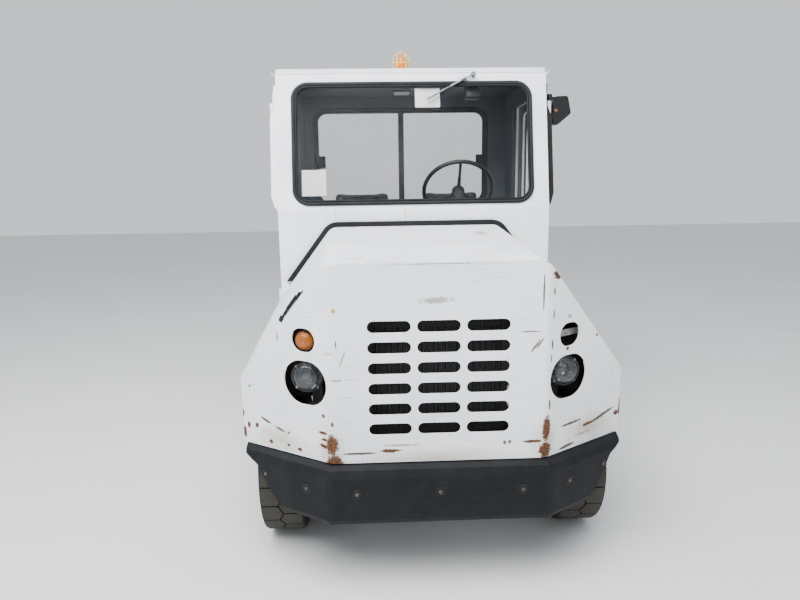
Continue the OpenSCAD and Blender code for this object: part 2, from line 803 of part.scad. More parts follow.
module window_seals() placed() color("#141516") {
    on_windshield() along_y(-seal_proud, -seat_gap) translate([0, windshield_mid])
        ring(windshield_w, windshield_h, window_r, seal_w);
    translate([rear_window_x, 0, rear_window_z]) {
        along_y(cab_rear_y, cab_rear_y + seal_proud)
            ring(rear_window_w, rear_window_h, window_r, seal_w);
        along_y(cab_rear_y - wall - seal_proud, cab_rear_y - wall)
            ring(rear_window_w, rear_window_h, window_r, seal_w);
        along_y(cab_rear_y - wall - seal_proud, cab_rear_y - wall + 10)
            square([window_bar_w, rear_window_h - 2 * seal_w + 2 * sink], center = true);
    }
    pillar_strip(LEFT);
}

module cab_glass() placed() color("#9fb4ba", 0.35) {
    on_windshield() along_y(0, glass_t) translate([0, windshield_mid])
        opening(windshield_w, windshield_h, window_r, seat_gap);
    translate([rear_window_x, 0, rear_window_z]) along_y(cab_rear_y - glass_t, cab_rear_y)
        opening(rear_window_w, rear_window_h, window_r, seat_gap);
}

// Doors

door_window_len = 500;
door_window_h = 710;
door_window_r = 70;
door_window_in = 60;
door_window_z = 1320;
handle_z = 1180;
handle_r = 8;
handle_len = 130;
handle_out = 26;

module on_door_window()
    translate([door_front_y + door_window_in + door_window_len / 2, door_window_z + door_window_h / 2])
        children();

module door(side) on_side(side) {
    along_x(door_x, door_out_x) difference() {
        door_outline(0);
        on_door_window() opening(door_window_len, door_window_h, door_window_r);
    }
    for (z = door_hinge_zs) translate([0, 0, z]) difference() {
        door_hinge(true);
        translate([door_hinge_x, door_hinge_y, 0])
            cylinder(r = door_hinge_pin_r + pin_gap, h = door_hinge_h, center = true);
    }
    // Pull handle near the rear edge, on two feet
    translate([door_out_x, door_front_y + door_len - 60, handle_z]) {
        for (z = [0, handle_len]) translate([-sink, 0, z]) bar_x(handle_r, handle_out + sink);
        translate([handle_out, 0, 0]) cylinder(r = handle_r, h = handle_len);
        for (z = [0, handle_len]) translate([handle_out, 0, z]) sphere(r = handle_r, $fn = 24);
    }
}

module door_seal(side) on_side(side) along_x(door_out_x, door_out_x + seal_proud)
    on_door_window() ring(door_window_len, door_window_h, door_window_r, seal_w);

module door_glass(side) on_side(side) along_x(door_out_x - glass_t, door_out_x)
    on_door_window() opening(door_window_len, door_window_h, door_window_r, seat_gap);

module door_left() placed() color(white) door(LEFT);
module door_right() placed() color(white) door(RIGHT);
module door_left_seal() placed() color("#141516") door_seal(LEFT);
module door_right_seal() placed() color("#141516") door_seal(RIGHT);
module door_left_glass() placed() color("#9fb4ba", 0.35) door_glass(LEFT);
module door_right_glass() placed() color("#9fb4ba", 0.35) door_glass(RIGHT);

// The mirror: a clamp above the upper hinge, an arm, a foot on the door and a rounded head
mirror_y = door_hinge_y + 24;
mirror_t = 50;
clamp_h = 36;
clamp_z = door_hinge_zs[1] + door_hinge_h / 2 + face_gap;
arm_r = 7;
// The corners of the head: distance in from its outer edge, height above the clamp's foot, radius
head_corners = [[84, 6, 22], [34, 12, 18], [18, -63, 18], [84, -115, 20]];

module mirror_head() placed() color("#151617") {
    // The clamp fits round the door's front edge
    translate([door_hinge_x, door_hinge_y, clamp_z]) difference() {
        cylinder(r = clamp_r, h = clamp_h);
        translate([-past, door_front_y - door_hinge_y, -1])
            cube([past - door_hinge_out, past, clamp_h + 2]);
    }
    translate([door_out_x, door_hinge_y, clamp_z]) cube([arm_r, 2 * door_leaf_w, clamp_h - 10]);
    translate([door_hinge_x, door_hinge_y + arm_r, clamp_z + clamp_h / 2]) rotate([0, 90, 30])
        cylinder(r = arm_r, h = 75);
    hull() for (c = head_corners) translate([mirror_out_x - c[0], mirror_y, clamp_z + c[1]])
        rotate([-90, 0, 0]) cylinder(r = c[2], h = mirror_t, $fn = 32);
}

// Inside the cab

// Moves to the middle of the steering wheel, z along its column towards the driver
module on_steering() translate([wheel_x, hood_len + wheel_back, wheel_z])
    rotate([-wheel_tilt, 0, 0]) children();

hub_r = 40;
hub_h = 34;
column_r = 32;
column_len = 330;
dash_depth = 230;
dash_bottom_z = crease_z - 251;
dash_top_z = crease_z - 36;
pedal_xs = [wheel_x - 90, wheel_x + 90];

module dashboard() placed() color("#2c2e30") {
    along_x(-half_w + wall, half_w - wall) translate([hood_len + wall, 0])
        polygon([[0, dash_bottom_z], [0, dash_top_z], [dash_depth * 0.55, dash_top_z + 10],
                 [dash_depth - 30, dash_top_z], [dash_depth, dash_top_z - 40],
                 [dash_depth * 0.7, dash_bottom_z]]);
    on_steering() translate([0, 0, -column_len])
        cylinder(r = column_r, h = column_len - hub_h - face_gap);
    // Instrument box behind the wheel
    translate([wheel_x - 110, hood_len + wall + 20, dash_top_z - sink]) along_x(0, 220)
        polygon([[0, 0], [30, 34], [110, 34], [140, 0]]);
    // Pedals on stalks from the cab's front wall
    intersection() {
        behind(hood_len + wall);
        for (x = pedal_xs) translate([x, hood_len + wall, floor_z + 160]) {
            rotate([-60, 0, 0]) translate([0, 0, -sink]) cylinder(r = 7, h = 90);
            translate([-30, 68, 16]) rotate([60, 0, 0]) cube([60, 80, 8]);
        }
    }
}

spoke_angles = [90, 210, 330];

module steering_wheel() placed() color("#101112") on_steering() {
    rotate_extrude() translate([wheel_r - rim_section_r, 0]) circle(r = rim_section_r);
    for (a = spoke_angles) rotate([0, 0, a]) translate([hub_r - 10, 0, -hub_h * 0.65])
        rotate([0, 83, 0]) cylinder(r = 9, h = wheel_r - rim_section_r - hub_r + 14);
    translate([0, 0, -hub_h]) cylinder(r = hub_r, h = hub_h);
}

module seat_box_form(in) translate([-half_w + wall + in, seat_box_y + in, rail_top_z - in])
    cube([body_w - 2 * wall - 2 * in, seat_box_len - 2 * in, seat_box_top_z - rail_top_z]);

wheel_room_gap = 40;
// The room for a rear wheel, its walls moved outwards by out
module wheel_room(out) both_sides()
    translate([(track - tyre_w) / 2 - wheel_room_gap - out, rear_axle_y, axle_z])
        bar_x(rear_arch_r + out, body_w);

module seat_box() placed() color("#2c2e30") difference() {
    union() {
        difference() {
            seat_box_form(0);
            seat_box_form(sheet);
        }
        intersection() {
            seat_box_form(0);
            wheel_room(sheet);
        }
    }
    wheel_room(0);
}

seat_back_t = 110;
seat_len = seat_box_len - 20;
seat_back_gap = 20;
seat_r = 90;

module seat(side) translate([side * seat_x, 0, 0]) {
    translate([-seat_w / 2, seat_box_y + 5, seat_box_top_z])
        cube([seat_w, seat_len, seat_z - seat_box_top_z]);
    along_y(cab_rear_y - wall - seat_back_t - seat_back_gap, cab_rear_y - wall - seat_back_gap)
        translate([0, (seat_z + seat_top_z) / 2 - 10])
            round_rect(seat_w, seat_top_z - seat_z + 20, seat_r);
}

module seat_driver() placed() color("#232528") seat(LEFT);
module seat_passenger() placed() color("#232528") seat(RIGHT);

// On the roof and the windshield

beacon_x = -45;
beacon_back = 490;
beacon_r = 28;
beacon_h = 131;
beacon_base_r = 40;
beacon_base_h = 48;
guard_r = 51;
guard_wire_r = 3.5;
guard_ring_z = 90;
guard_hoop_z = 104;
guard_button_r = 12;

module on_beacon() translate([beacon_x, hood_len + beacon_back, roof_z]) children();

module beacon() placed() color("#e8930c") on_beacon() {
    cylinder(r = beacon_base_r, h = beacon_base_h);
    rotate_extrude() polygon(concat([[0, beacon_base_h - sink], [beacon_r + 3, beacon_base_h - sink]],
        [for (i = [0:6]) [beacon_r * cos(15 * i), beacon_h - 16 + 16 * sin(15 * i)]]));
}

// A wire cage: two rings round three hoops that meet over the top in a button
module beacon_guard() placed() color("#e3b505") on_beacon() {
    for (z = [guard_wire_r, guard_ring_z]) translate([0, 0, z]) rotate_extrude()
        translate([guard_r + guard_wire_r * 0.7, 0]) circle(guard_wire_r, $fn = 24);
    translate([0, 0, guard_hoop_z + guard_r]) cylinder(r = guard_button_r, h = 10, center = true);
    for (a = [0, 60, 120]) rotate([0, 0, a]) {
        for (s = [-1, 1]) translate([s * guard_r, 0, 0])
            cylinder(r = guard_wire_r, h = guard_hoop_z, $fn = 24);
        translate([0, 0, guard_hoop_z]) difference() {
            rotate([90, 0, 0]) rotate_extrude() translate([guard_r, 0])
                circle(guard_wire_r, $fn = 24);
            translate([-2 * guard_r, -guard_r, -2 * guard_r])
                cube([4 * guard_r, 2 * guard_r, 2 * guard_r]);
            translate([0, -guard_r, 0])
                translate([-guard_button_r * 0.7, 0, 0]) cube([guard_button_r * 1.4, 2 * guard_r, 2 * guard_r]);
        }
    }
}

wiper_len = 303;
wiper_drop = 27.5;
wiper_box_w = 76;
wiper_box_t = 56;
wiper_box_h = 112;
wall_normal = wall * cos(lean);

// The arm hangs outside, its shaft passes the wall, and the motor is inside
module wiper() placed() color("#8d9093") on_windshield() translate([wiper_x, 0, wiper_t]) {
    translate([0, -seat_gap, 0]) rotate([90, 0, 0]) cylinder(r = 11, h = 22);
    rotate([-90, 0, 0]) translate([0, 0, -sink]) cylinder(r = wiper_shaft_r, h = wall_normal + 2 * sink + 5);
    translate([0, -22, 0]) rotate([0, -wiper_drop, 0]) along_y(0, 6)
        polygon([[0, -6], [-wiper_len, -3], [-wiper_len, 3], [0, 6]]);
    translate([-31, wall_normal + seat_gap, -wiper_box_h + 6])
        cube([wiper_box_w, wiper_box_t, wiper_box_h]);
}

// Rear body

deck_end_y = rear_y - rear_plate_t;

module rear_deck() placed() color(white) difference() {
    translate([-half_w, cab_rear_y, side_bottom_z])
        cube([body_w, deck_end_y - cab_rear_y, deck_z - side_bottom_z]);
    translate([-half_w + sheet, cab_rear_y + sheet, side_bottom_z - 1])
        cube([body_w - 2 * sheet, deck_end_y - cab_rear_y - 2 * sheet,
              deck_z - side_bottom_z - sheet + 1]);
    translate([0, rear_axle_y, axle_z]) disc_x(rear_arch_r, 2 * body_w);
    both_sides() translate([rail_out_x - rail_w - seat_gap, 0, 0])
        cube([rail_w + 2 * seat_gap, rear_y, rail_top_z + seat_gap]);
}

rear_plate_z = 300;
rear_plate_h = 400;
lash_hole_r = 17;
lash_in = 75;
lash_up = 45;
hitch_pin_in = 50;
hitch_pin_y = rear_y + hitch_reach - hitch_pin_in;
rib_t = 14;

// The heavy rear plate with its two jaws, braced by ribs, and a lashing hole at each end
module rear_plate() placed() color(black) difference() {
    union() {
        translate([-half_w, deck_end_y, rear_plate_z]) cube([body_w, rear_plate_t, rear_plate_h]);
        for (s = [-1, 1]) translate([0, 0, hitch_z + s * (hitch_gap + jaw_t) / 2]) {
            translate([-jaw_w / 2, rear_y - sink, -jaw_t / 2])
                cube([jaw_w, hitch_reach - jaw_w / 4 + sink, jaw_t]);
            translate([0, rear_y + hitch_reach - jaw_w / 4, 0])
                linear_extrude(jaw_t, center = true) slot_shape(jaw_w, jaw_w / 2);
            for (x = [-1, 1]) translate([x * (jaw_w - rib_t) / 2, 0, 0]) along_x(-rib_t / 2, rib_t / 2)
                polygon([[rear_y - sink, 0], [rear_y + hitch_reach * 0.6, 0],
                         [rear_y - sink, s * 60]]);
        }
    }
    translate([0, hitch_pin_y, hitch_z - hitch_gap])
        cylinder(r = hitch_pin_r + pin_gap, h = 2 * hitch_gap);
    for (s = [-1, 1]) translate([s * (half_w - lash_in), deck_end_y - past, rear_plate_z + lash_up])
        rotate([-90, 0, 0]) cylinder(r = lash_hole_r, h = rear_plate_t + 2 * past);
}

pin_below = 8;
pin_above = 44;
collar_r = 28;
collar_h = 14;

// The hitch pin: a collar on the upper jaw and a ring to lift it by
module hitch_pin() placed() color("#6d7073")
    translate([0, hitch_pin_y, hitch_z - hitch_gap / 2 - jaw_t - pin_below]) {
        cylinder(r = hitch_pin_r, h = hitch_gap + 2 * jaw_t + pin_below + pin_above);
        translate([0, 0, hitch_gap + 2 * jaw_t + pin_below + face_gap])
            cylinder(r = collar_r, h = collar_h);
        translate([0, 0, hitch_gap + 2 * jaw_t + pin_below + pin_above + 18]) rotate([0, 90, 0])
            rotate_extrude() translate([24, 0]) circle(5, $fn = 24);
    }

tail_lamp_r = 45;
tail_lamp_in = 130;
tail_lamp_z = 620;

module tail_lamps() placed() color("#8c1414") both_sides()
    translate([half_w - tail_lamp_in, rear_y, tail_lamp_z]) rotate([-90, 0, 0])
        rotate_extrude() polygon(concat([[0, 0], [tail_lamp_r + 4, 0], [tail_lamp_r + 4, 12]],
            [for (i = [0:6]) [tail_lamp_r * cos(15 * i), 18 + 12 * sin(15 * i)]]));

// Axles and wheels

axle_w = 60;
kingpin_boss_r = 34;

module front_axle() placed() color("#303234") translate([0, front_axle_y, axle_z]) difference() {
    union() {
        // A beam that is waisted in front and behind
        difference() {
            translate([-kingpin_w / 2, -axle_w / 2, -axle_half_h])
                cube([kingpin_w, axle_w, 2 * axle_half_h]);
            for (s = [-1, 1]) translate([0, s * axle_w / 2, 0]) rotate([0, 90, 0])
                linear_extrude(kingpin_w - 160, center = true) slot_shape(44, 24);
        }
        both_sides() translate([kingpin_w / 2, 0, -axle_half_h])
            cylinder(r = kingpin_boss_r, h = 2 * axle_half_h);
    }
    both_sides() translate([kingpin_w / 2, 0, -2 * axle_half_h])
        cylinder(r = kingpin_r + pin_gap, h = 4 * axle_half_h);
}

arm_len = 130;
arm_w = 32;
ear_t = 20;
ear_r = 32;
rod_pin_r = 8;
// The hub's reach inwards from the middle of the wheel, and the room inside it
hub_in = 40;
hub_clear = 7;
upright_t = 16;
upright_x = kingpin_offset - hub_in - hub_clear - upright_t;
spindle_out = 50;
ear_far = axle_half_h + face_gap + ear_t;

// A steering knuckle: two ears round the axle's boss, an upright, the spindle and an arm
module knuckle(side) on_side(side) translate([kingpin_w / 2, front_axle_y, axle_z]) difference() {
    union() {
        for (s = [-1, 1]) translate([0, 0, s * (ear_far - ear_t / 2)]) {
            cylinder(r = ear_r, h = ear_t, center = true);
            translate([0, -25, -ear_t / 2]) cube([upright_x + upright_t - 1, 50, ear_t]);
        }
        translate([upright_x, -30, -ear_far]) cube([upright_t, 60, 2 * ear_far]);
        cylinder(r = kingpin_r, h = 2 * (axle_half_h + face_gap + sink), center = true);
        translate([-arm_w / 2, 10, -ear_far]) cube([arm_w, arm_len - 10, ear_t]);
        translate([0, arm_len, -ear_far]) cylinder(r = 20, h = ear_t);
        translate([upright_x + sink, 0, 0])
            bar_x(spindle_r, kingpin_offset - upright_x - sink + spindle_out);
    }
    translate([0, arm_len, -ear_far - past]) cylinder(r = rod_pin_r + pin_gap, h = ear_t + 2 * past);
}

module knuckle_left() placed() color("#303234") knuckle(LEFT);
module knuckle_right() placed() color("#303234") knuckle(RIGHT);

rod_end_h = 30;
module tie_rod() placed() color("#303234")
    translate([0, front_axle_y + arm_len, axle_z - ear_far]) {
        both_sides() translate([kingpin_w / 2, 0, -rod_end_h - face_gap]) {
            cylinder(r = rod_pin_r, h = rod_end_h + face_gap + ear_t);
            cylinder(r = 18, h = rod_end_h);
        }
        translate([-kingpin_w / 2, 0, -rod_end_h / 2 - face_gap]) bar_x(12, kingpin_w);
    }

diff_r = 120;
flange_r = 60;

// The driven axle: a tube, the swollen housing of its gears, and a flange at each end
module rear_axle() placed() color("#303234") translate([0, rear_axle_y, axle_z]) {
    disc_x(axle_half_h, kingpin_w);
    both_sides() translate([kingpin_w / 2 - 5, 0, 0]) {
        bar_x(flange_r, upright_t);
        bar_x(spindle_r, kingpin_offset + spindle_out + 5);
    }
    rotate([0, 90, 0]) rotate_extrude() polygon([[0, -130], [axle_half_h, -130], [60, -105],
        [diff_r - 15, -60], [diff_r, -30], [diff_r, 30], [diff_r - 15, 60], [60, 105],
        [axle_half_h, 130], [0, 130]]);
}

module on_wheel(side, y) placed() on_side(side)
    translate([track / 2, y, axle_z]) rotate([0, 90, 0]) children();

bead_gap = 0.3;
rim_w = 130;

module tyre(side, y) on_wheel(side, y) color("#2a2927") {
    h = tyre_w / 2;
    b = rim_w / 2;
    half = [[rim_r + bead_gap, b - 9], [rim_r + 14, b - 5], [rim_r + 20, b + 10],
        [rim_r + 50, h - 4], [rim_r + 80, h], [tyre_r - 40, h - 1], [tyre_r - 14, h - 4],
        [tyre_r - 4, h - 10], [tyre_r, h - 20]];
    rotate_extrude($fn = 72) polygon(concat(half, [for (p = reversed(half)) [p[0], -p[1]]]));
}

hub_out = 62;
disc_t = 7;
hand_holes = 5;
hand_hole_r = 13;

// A disc wheel: its hub, a dished disc with hand holes, and the well for the tyre
module rim(side, y) on_wheel(side, y) color("#d8d9d6") difference() {
    w = rim_w / 2;
    rotate_extrude($fn = 72) polygon([
        [spindle_r + pin_gap, -hub_in], [54, -hub_in], [54, 38], [100, 30], [128, 30],
        [rim_r - 12, 40], [rim_r - 12, -w], [rim_r + 12, -w], [rim_r + 12, -w + 5],
        [rim_r, -w + 8], [rim_r, w - 8], [rim_r + 12, w - 5], [rim_r + 12, w],
        [rim_r - 6, w], [rim_r - 6, 46], [126, 30 + disc_t], [100, 30 + disc_t], [56, 46],
        [40, hub_out], [0, hub_out], [0, spindle_out + 4], [spindle_r + pin_gap, spindle_out + 4]]);
    for (i = [0:hand_holes - 1]) rotate([0, 0, 360 / hand_holes * i])
        translate([112, 0, -w]) cylinder(r = hand_hole_r, h = 2 * w, $fn = 24);
}

module tyre_front_left() tyre(LEFT, front_axle_y);
module tyre_front_right() tyre(RIGHT, front_axle_y);
module tyre_rear_left() tyre(LEFT, rear_axle_y);
module tyre_rear_right() tyre(RIGHT, rear_axle_y);
module rim_front_left() rim(LEFT, front_axle_y);
module rim_front_right() rim(RIGHT, front_axle_y);
module rim_rear_left() rim(LEFT, rear_axle_y);
module rim_rear_right() rim(RIGHT, rear_axle_y);

chassis_frame();
engine_block();
radiator();
front_bumper();
nose_panel();
fender_left();
fender_right();
hood();
hood_latch();
hood_seal();
headlamps();
indicator_lamp();
cab_front();
cab_rear();
cab_side_left();
cab_side_right();
cab_roof();
cab_floor();
window_seals();
cab_glass();
door_left();
door_left_seal();
door_left_glass();
door_right();
door_right_seal();
door_right_glass();
mirror_head();  // mirror
dashboard();
steering_wheel();
seat_box();
seat_driver();
seat_passenger();
beacon();
beacon_guard();
wiper();
rear_deck();
rear_plate();
hitch_pin();
tail_lamps();
front_axle();
knuckle_left();
knuckle_right();
tie_rod();
rear_axle();
tyre_front_left();
rim_front_left();
tyre_front_right();
rim_front_right();
tyre_rear_left();
rim_rear_left();
tyre_rear_right();
rim_rear_right();
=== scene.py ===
"""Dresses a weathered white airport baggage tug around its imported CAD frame."""

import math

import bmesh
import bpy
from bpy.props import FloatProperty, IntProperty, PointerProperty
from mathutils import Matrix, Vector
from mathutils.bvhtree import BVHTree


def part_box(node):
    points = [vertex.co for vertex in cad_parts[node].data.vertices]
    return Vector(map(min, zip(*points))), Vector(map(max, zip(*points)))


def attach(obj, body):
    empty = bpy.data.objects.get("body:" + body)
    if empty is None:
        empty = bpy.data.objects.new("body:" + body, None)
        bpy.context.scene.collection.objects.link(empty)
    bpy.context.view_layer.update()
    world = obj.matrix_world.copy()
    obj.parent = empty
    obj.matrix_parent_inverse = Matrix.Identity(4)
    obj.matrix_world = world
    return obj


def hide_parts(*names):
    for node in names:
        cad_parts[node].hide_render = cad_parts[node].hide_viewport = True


bl_info = {
    "name": "Baggage Tug Looks",
    "version": (1, 0, 0),
    "blender": (4, 5, 0),
    "location": "View3D > Sidebar > Baggage Tug",
    "description": "Finishes, seats, tyres, lamps and small trim of a two-seat airport baggage tug",
    "category": "Object",
}

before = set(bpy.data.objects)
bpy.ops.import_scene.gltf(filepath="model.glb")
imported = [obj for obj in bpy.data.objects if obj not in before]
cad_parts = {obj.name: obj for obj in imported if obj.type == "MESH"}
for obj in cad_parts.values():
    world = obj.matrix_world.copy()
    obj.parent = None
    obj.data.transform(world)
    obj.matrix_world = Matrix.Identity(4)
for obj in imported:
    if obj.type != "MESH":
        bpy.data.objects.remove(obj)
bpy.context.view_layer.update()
MM = 0.001
LEFT, RIGHT = 1, -1


def middle(node):
    """The middle of a CAD node's box."""
    low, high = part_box(node)
    return (Vector(low) + Vector(high)) / 2


# The middle of the nose panel's front face, on the floor
NOSE = Vector((middle("nose_panel").x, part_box("nose_panel")[0][1], 0))
# The nose's flat middle ends at this distance from the centre, where the corner panels turn back
NOSE_FOLD = 400
CORNER = math.atan2(240, 375)
# The raked windshield panel: its foot behind the nose, its height and its lean
CAB_FRONT, CREASE, LEAN = 1360, 1411, math.radians(11.2)
CAB_REAR, CEILING = 2420, 2180
# The hood's flat top is this wide at its rear edge, to each side, and its sides fall this steeply
HOOD_REAR_HALF, HOOD_FALL = 476, 1.32
# Lamp openings on a corner panel: how far along it, and their height
HEADLAMP, INDICATOR = (116, 815), (116, 979)
# The wiper's spindle on the windshield panel, and the distance of the doors' skins
WIPER_SPINDLE, DOOR_OUT = (352, 762), 804.5
# The steering wheel's hub, how far its plane leans back, and its rim's radius
WHEEL_HUB, WHEEL_TILT, WHEEL_RADIUS = (305, 1788, 1512), math.radians(52), 217
# The driver's seat from side to side, and the passenger's place beside it
SEAT_X, PASSENGER_X = (105, 535), -640
# Distance of the tyres' middles from the centre plane, in metres
TYRE_X = middle("tyre_front_left").x - NOSE.x
AT_NOSE = Matrix.Translation(NOSE)


def at(x, y, z):
    """A point from the nose's middle on the floor, in millimetres: x to the left, y back."""
    return NOSE + Vector((x, y, z)) * MM


def facing(origin, out, up=(0, 0, 1)):
    """A frame at a point whose z looks out and whose y is up."""
    out, up = Vector(out).normalized(), Vector(up).normalized()
    right = up.cross(out).normalized()
    return Matrix.Translation(origin) @ Matrix((right, out.cross(right), out)).transposed().to_4x4()


def out_of(place):
    """The direction that a frame's z looks in."""
    return place.to_3x3().col[2]


def inside(place, x, y, z):
    """A point in a frame, in millimetres."""
    return place @ (Vector((x, y, z)) * MM)


def round_in(place, radius, angle, height):
    """A point in a frame by its radius, angle and height, in millimetres and radians."""
    return inside(place, radius * math.cos(angle), radius * math.sin(angle), height)


def round_turn(steps):
    """Equal steps of angle once round."""
    return [math.tau * k / steps for k in range(steps)]


def on_corner(side, along, z):
    """A frame on a corner panel: along it from the fold, z looking out of it."""
    x, y = NOSE_FOLD + along * math.cos(CORNER), along * math.sin(CORNER)
    return facing(at(side * x, y, z), (side * math.sin(CORNER), -math.cos(CORNER), 0))


def on_windshield(x, up, out=0):
    """A frame on the windshield panel: x across, up from the fold, out ahead of its face."""
    lean_y, lean_z = math.sin(LEAN), math.cos(LEAN)
    spot = at(x, CAB_FRONT + up * lean_y - out * lean_z, CREASE + up * lean_z + out * lean_y)
    return facing(spot, (0, -lean_z, lean_y), (0, lean_y, lean_z))


# Material trees

def linear(code):
    """An sRGB hex colour as linear RGBA."""
    parts = [int(code[i:i + 2], 16) / 255 for i in (1, 3, 5)]
    return tuple(c / 12.92 if c <= 0.04045 else ((c + 0.055) / 1.055) ** 2.4 for c in parts) + (1,)


def add(tree, kind, settings=(), inputs=()):
    """Adds a node: settings are its attributes."""
    made = tree.nodes.new(kind)
    for name, value in dict(settings).items():
        setattr(made, name, value)
    feed(tree, made, inputs)
    return made


def feed(tree, node, inputs):
    """Sets a node's inputs: values, sockets, or nodes by their first output in use."""
    for key, value in dict(inputs).items():
        if isinstance(value, bpy.types.Node):
            value = next(socket for socket in value.outputs if socket.enabled)
        if isinstance(value, bpy.types.NodeSocket):
            tree.links.new(value, node.inputs[key])
        else:
            node.inputs[key].default_value = value


# Nodes that join two values
PRODUCT = "ShaderNodeMath", {"operation": "MULTIPLY"}
LARGEST = "ShaderNodeMath", {"operation": "MAXIMUM"}


def joined(tree, node, values):
    """Joins values into one, two by two: a node is its kind and its settings."""
    total, *others = values
    for value in others:
        total = add(tree, *node, {0: total, 1: value})
    return total


def material(name):
    """A new material's empty tree, its shader and its Object coordinates."""
    made = bpy.data.materials.new(name)
    made.use_nodes = True
    tree = made.node_tree
    tree.nodes.clear()
    shader = add(tree, "ShaderNodeBsdfPrincipled")
    add(tree, "ShaderNodeOutputMaterial", inputs={"Surface": shader})
    return tree, shader, add(tree, "ShaderNodeTexCoord").outputs["Object"]


def speckled(name, light, dark, grain_mm, rough=(0.5, 0.6), bump_mm=0.1, metallic=0.0,
             patch_mm=200, **sockets):
    """A finish that varies between two colours in patches, with a fine grain of a real size."""
    tree, shader, where = material(name)
    broad = add(tree, "ShaderNodeTexNoise", inputs={
        "Vector": where, "Scale": 1 / (patch_mm * MM), "Detail": 6.0, "Roughness": 0.6})
    grain = add(tree, "ShaderNodeTexNoise", inputs={
        "Vector": where, "Scale": 1 / (grain_mm * MM), "Detail": 3.0})
    spread = add(tree, "ShaderNodeMapRange", inputs={
        "Value": broad, "From Min": 0.35, "From Max": 0.65})
    colour = add(tree, "ShaderNodeMix", {"data_type": "RGBA"}, {
        "Factor": spread, "A": linear(light), "B": linear(dark)})
    polish = add(tree, "ShaderNodeMapRange", inputs={
        "Value": grain, "From Min": 0.3, "From Max": 0.7, "To Min": rough[0], "To Max": rough[1]})
    feed(tree, shader, {"Base Color": colour, "Roughness": polish, "Metallic": metallic})
    feed(tree, shader, {key.replace("_", " "): value for key, value in sockets.items()})
    if bump_mm:
        bump = add(tree, "ShaderNodeBump", inputs={
            "Height": grain, "Strength": 1.0, "Distance": bump_mm * MM})
        feed(tree, shader, {"Normal": bump})


# Wear on the paint, and one painted shadow line: each mark is a kind, a middle, half sizes, a tilt
# and a turn, in millimetres and radians, from the nose's middle on the floor

def marks(kind, *rows):
    """Patches that fade out from their middles: rows of a middle, half sizes and maybe a tilt."""
    return [(kind, row[:3], row[3:6], row[6] if row[6:] else 0.0, 0.0) for row in rows]


def corner_marks(kind, side, *rows):
    """Patches on a corner panel: rows of a place along it, a height, half sizes, maybe a tilt."""
    return [(kind, (side * (NOSE_FOLD + along * math.cos(CORNER)), along * math.sin(CORNER), z),
             (half_along, 15, half_z), tilt[0] if tilt else 0.0, side * CORNER)
            for along, z, half_along, half_z, *tilt in rows]


def corner_scratches(kind, side, *rows):
    """Scratches on a corner panel: rows of two ends, along it and in height, and a half width."""
    return corner_marks(kind, side, *(
        ((s0 + s1) / 2, (z0 + z1) / 2, math.dist((s0, z0), (s1, z1)) / 2, half_w,
         -math.atan2(z1 - z0, side * (s1 - s0))) for s0, z0, s1, z1, half_w in rows))


NOSE_MARKS = (
    marks("stain", (0, 0, 530, 470, 30, 80), (-400, 10, 570, 120, 60, 140),
          (400, 10, 580, 110, 60, 160))
    + corner_marks("stain", RIGHT, (250, 565, 260, 90))
    + corner_marks("stain", LEFT, (250, 580, 260, 100))
    + marks("rust", (-390, 6, 520, 66, 40, 60), (-396, 8, 590, 46, 40, 84),
          (-430, 22, 633, 48, 30, 12), (-430, 22, 581, 54, 30, 15), (-425, 20, 607, 40, 30, 11),
          (-185, 0, 564, 80, 20, 14), (0, 0, 507, 430, 20, 13), (398, 6, 545, 48, 40, 74),
          (402, 8, 630, 34, 40, 96), (350, 0, 585, 70, 20, 12))
    + marks("scrape", (-300, 0, 556, 110, 20, 8), (352, 0, 952, 6, 20, 50, 0.6),
          (368, 0, 962, 6, 20, 40, 0.6))
    + marks("scuff_and_shade", (-140, 0, 584, 150, 20, 12), (-320, 0, 842, 70, 20, 4),
          (-340, 0, 774, 80, 20, 4), (-400, 8, 940, 46, 40, 6), (-10, 0, 1130, 150, 20, 30),
          # The last, a thin line along the nose's top edge, is a painted shadow where the hood
          # meets it
          (0, 0, 1261, 420, 14, 6))
    + marks("dark", (-373, 0, 976, 4, 20, 22), (-351, 0, 922, 3, 20, 58, 0.38),
          (-375, 0, 840, 34, 20, 4), (-428, 20, 700, 11, 20, 14), (-395, 5, 672, 10, 20, 16),
          (240, 0, 959, 6, 20, 5), (252, 0, 903, 5, 20, 5), (245, 0, 583, 10, 20, 13),
          (264, 0, 586, 9, 20, 13), (378, 0, 1150, 5, 20, 110), (330, 0, 1007, 62, 20, 4))
    + marks("yellow", (-378, 0, 1098, 12, 20, 12))
    + corner_marks("rust", RIGHT, (447, 640, 18, 36), (440, 560, 20, 50), (415, 594, 18, 24),
          (370, 600, 18, 22), (301, 546, 22, 15), (208, 549, 16, 12), (154, 544, 22, 14))
    + corner_scratches("scrape", RIGHT, (365, 645, 280, 616, 9), (290, 618, 208, 596, 9))
    + corner_marks("dark", RIGHT, (206, 600, 8, 9), (241, 978, 5, 28), (400, 760, 7, 8))
    + corner_marks("rust", LEFT, (44, 1212, 50, 36), (118, 1142, 13, 13), (205, 1052, 12, 16),
          (276, 953, 10, 13), (105, 925, 18, 14), (448, 620, 24, 80), (420, 600, 26, 20),
          (452, 540, 18, 36))
    + corner_scratches("dark", LEFT, (24, 1176, 26, 1130, 7), (26, 1095, 24, 1035, 6),
          (18, 985, 24, 925, 7), (16, 925, 18, 880, 5), (14, 760, 18, 690, 7))
    + corner_marks("scuff_and_shade", LEFT, (112, 1049, 28, 22))
    + corner_scratches("scrape", LEFT, (45, 527, 195, 540, 10), (40, 618, 240, 626, 9),
          (200, 580, 450, 640, 11))
    + corner_scratches("rust", LEFT, (180, 590, 300, 600, 12))
    + corner_scratches("scuff_and_shade", LEFT, (80, 560, 350, 566, 9))
)
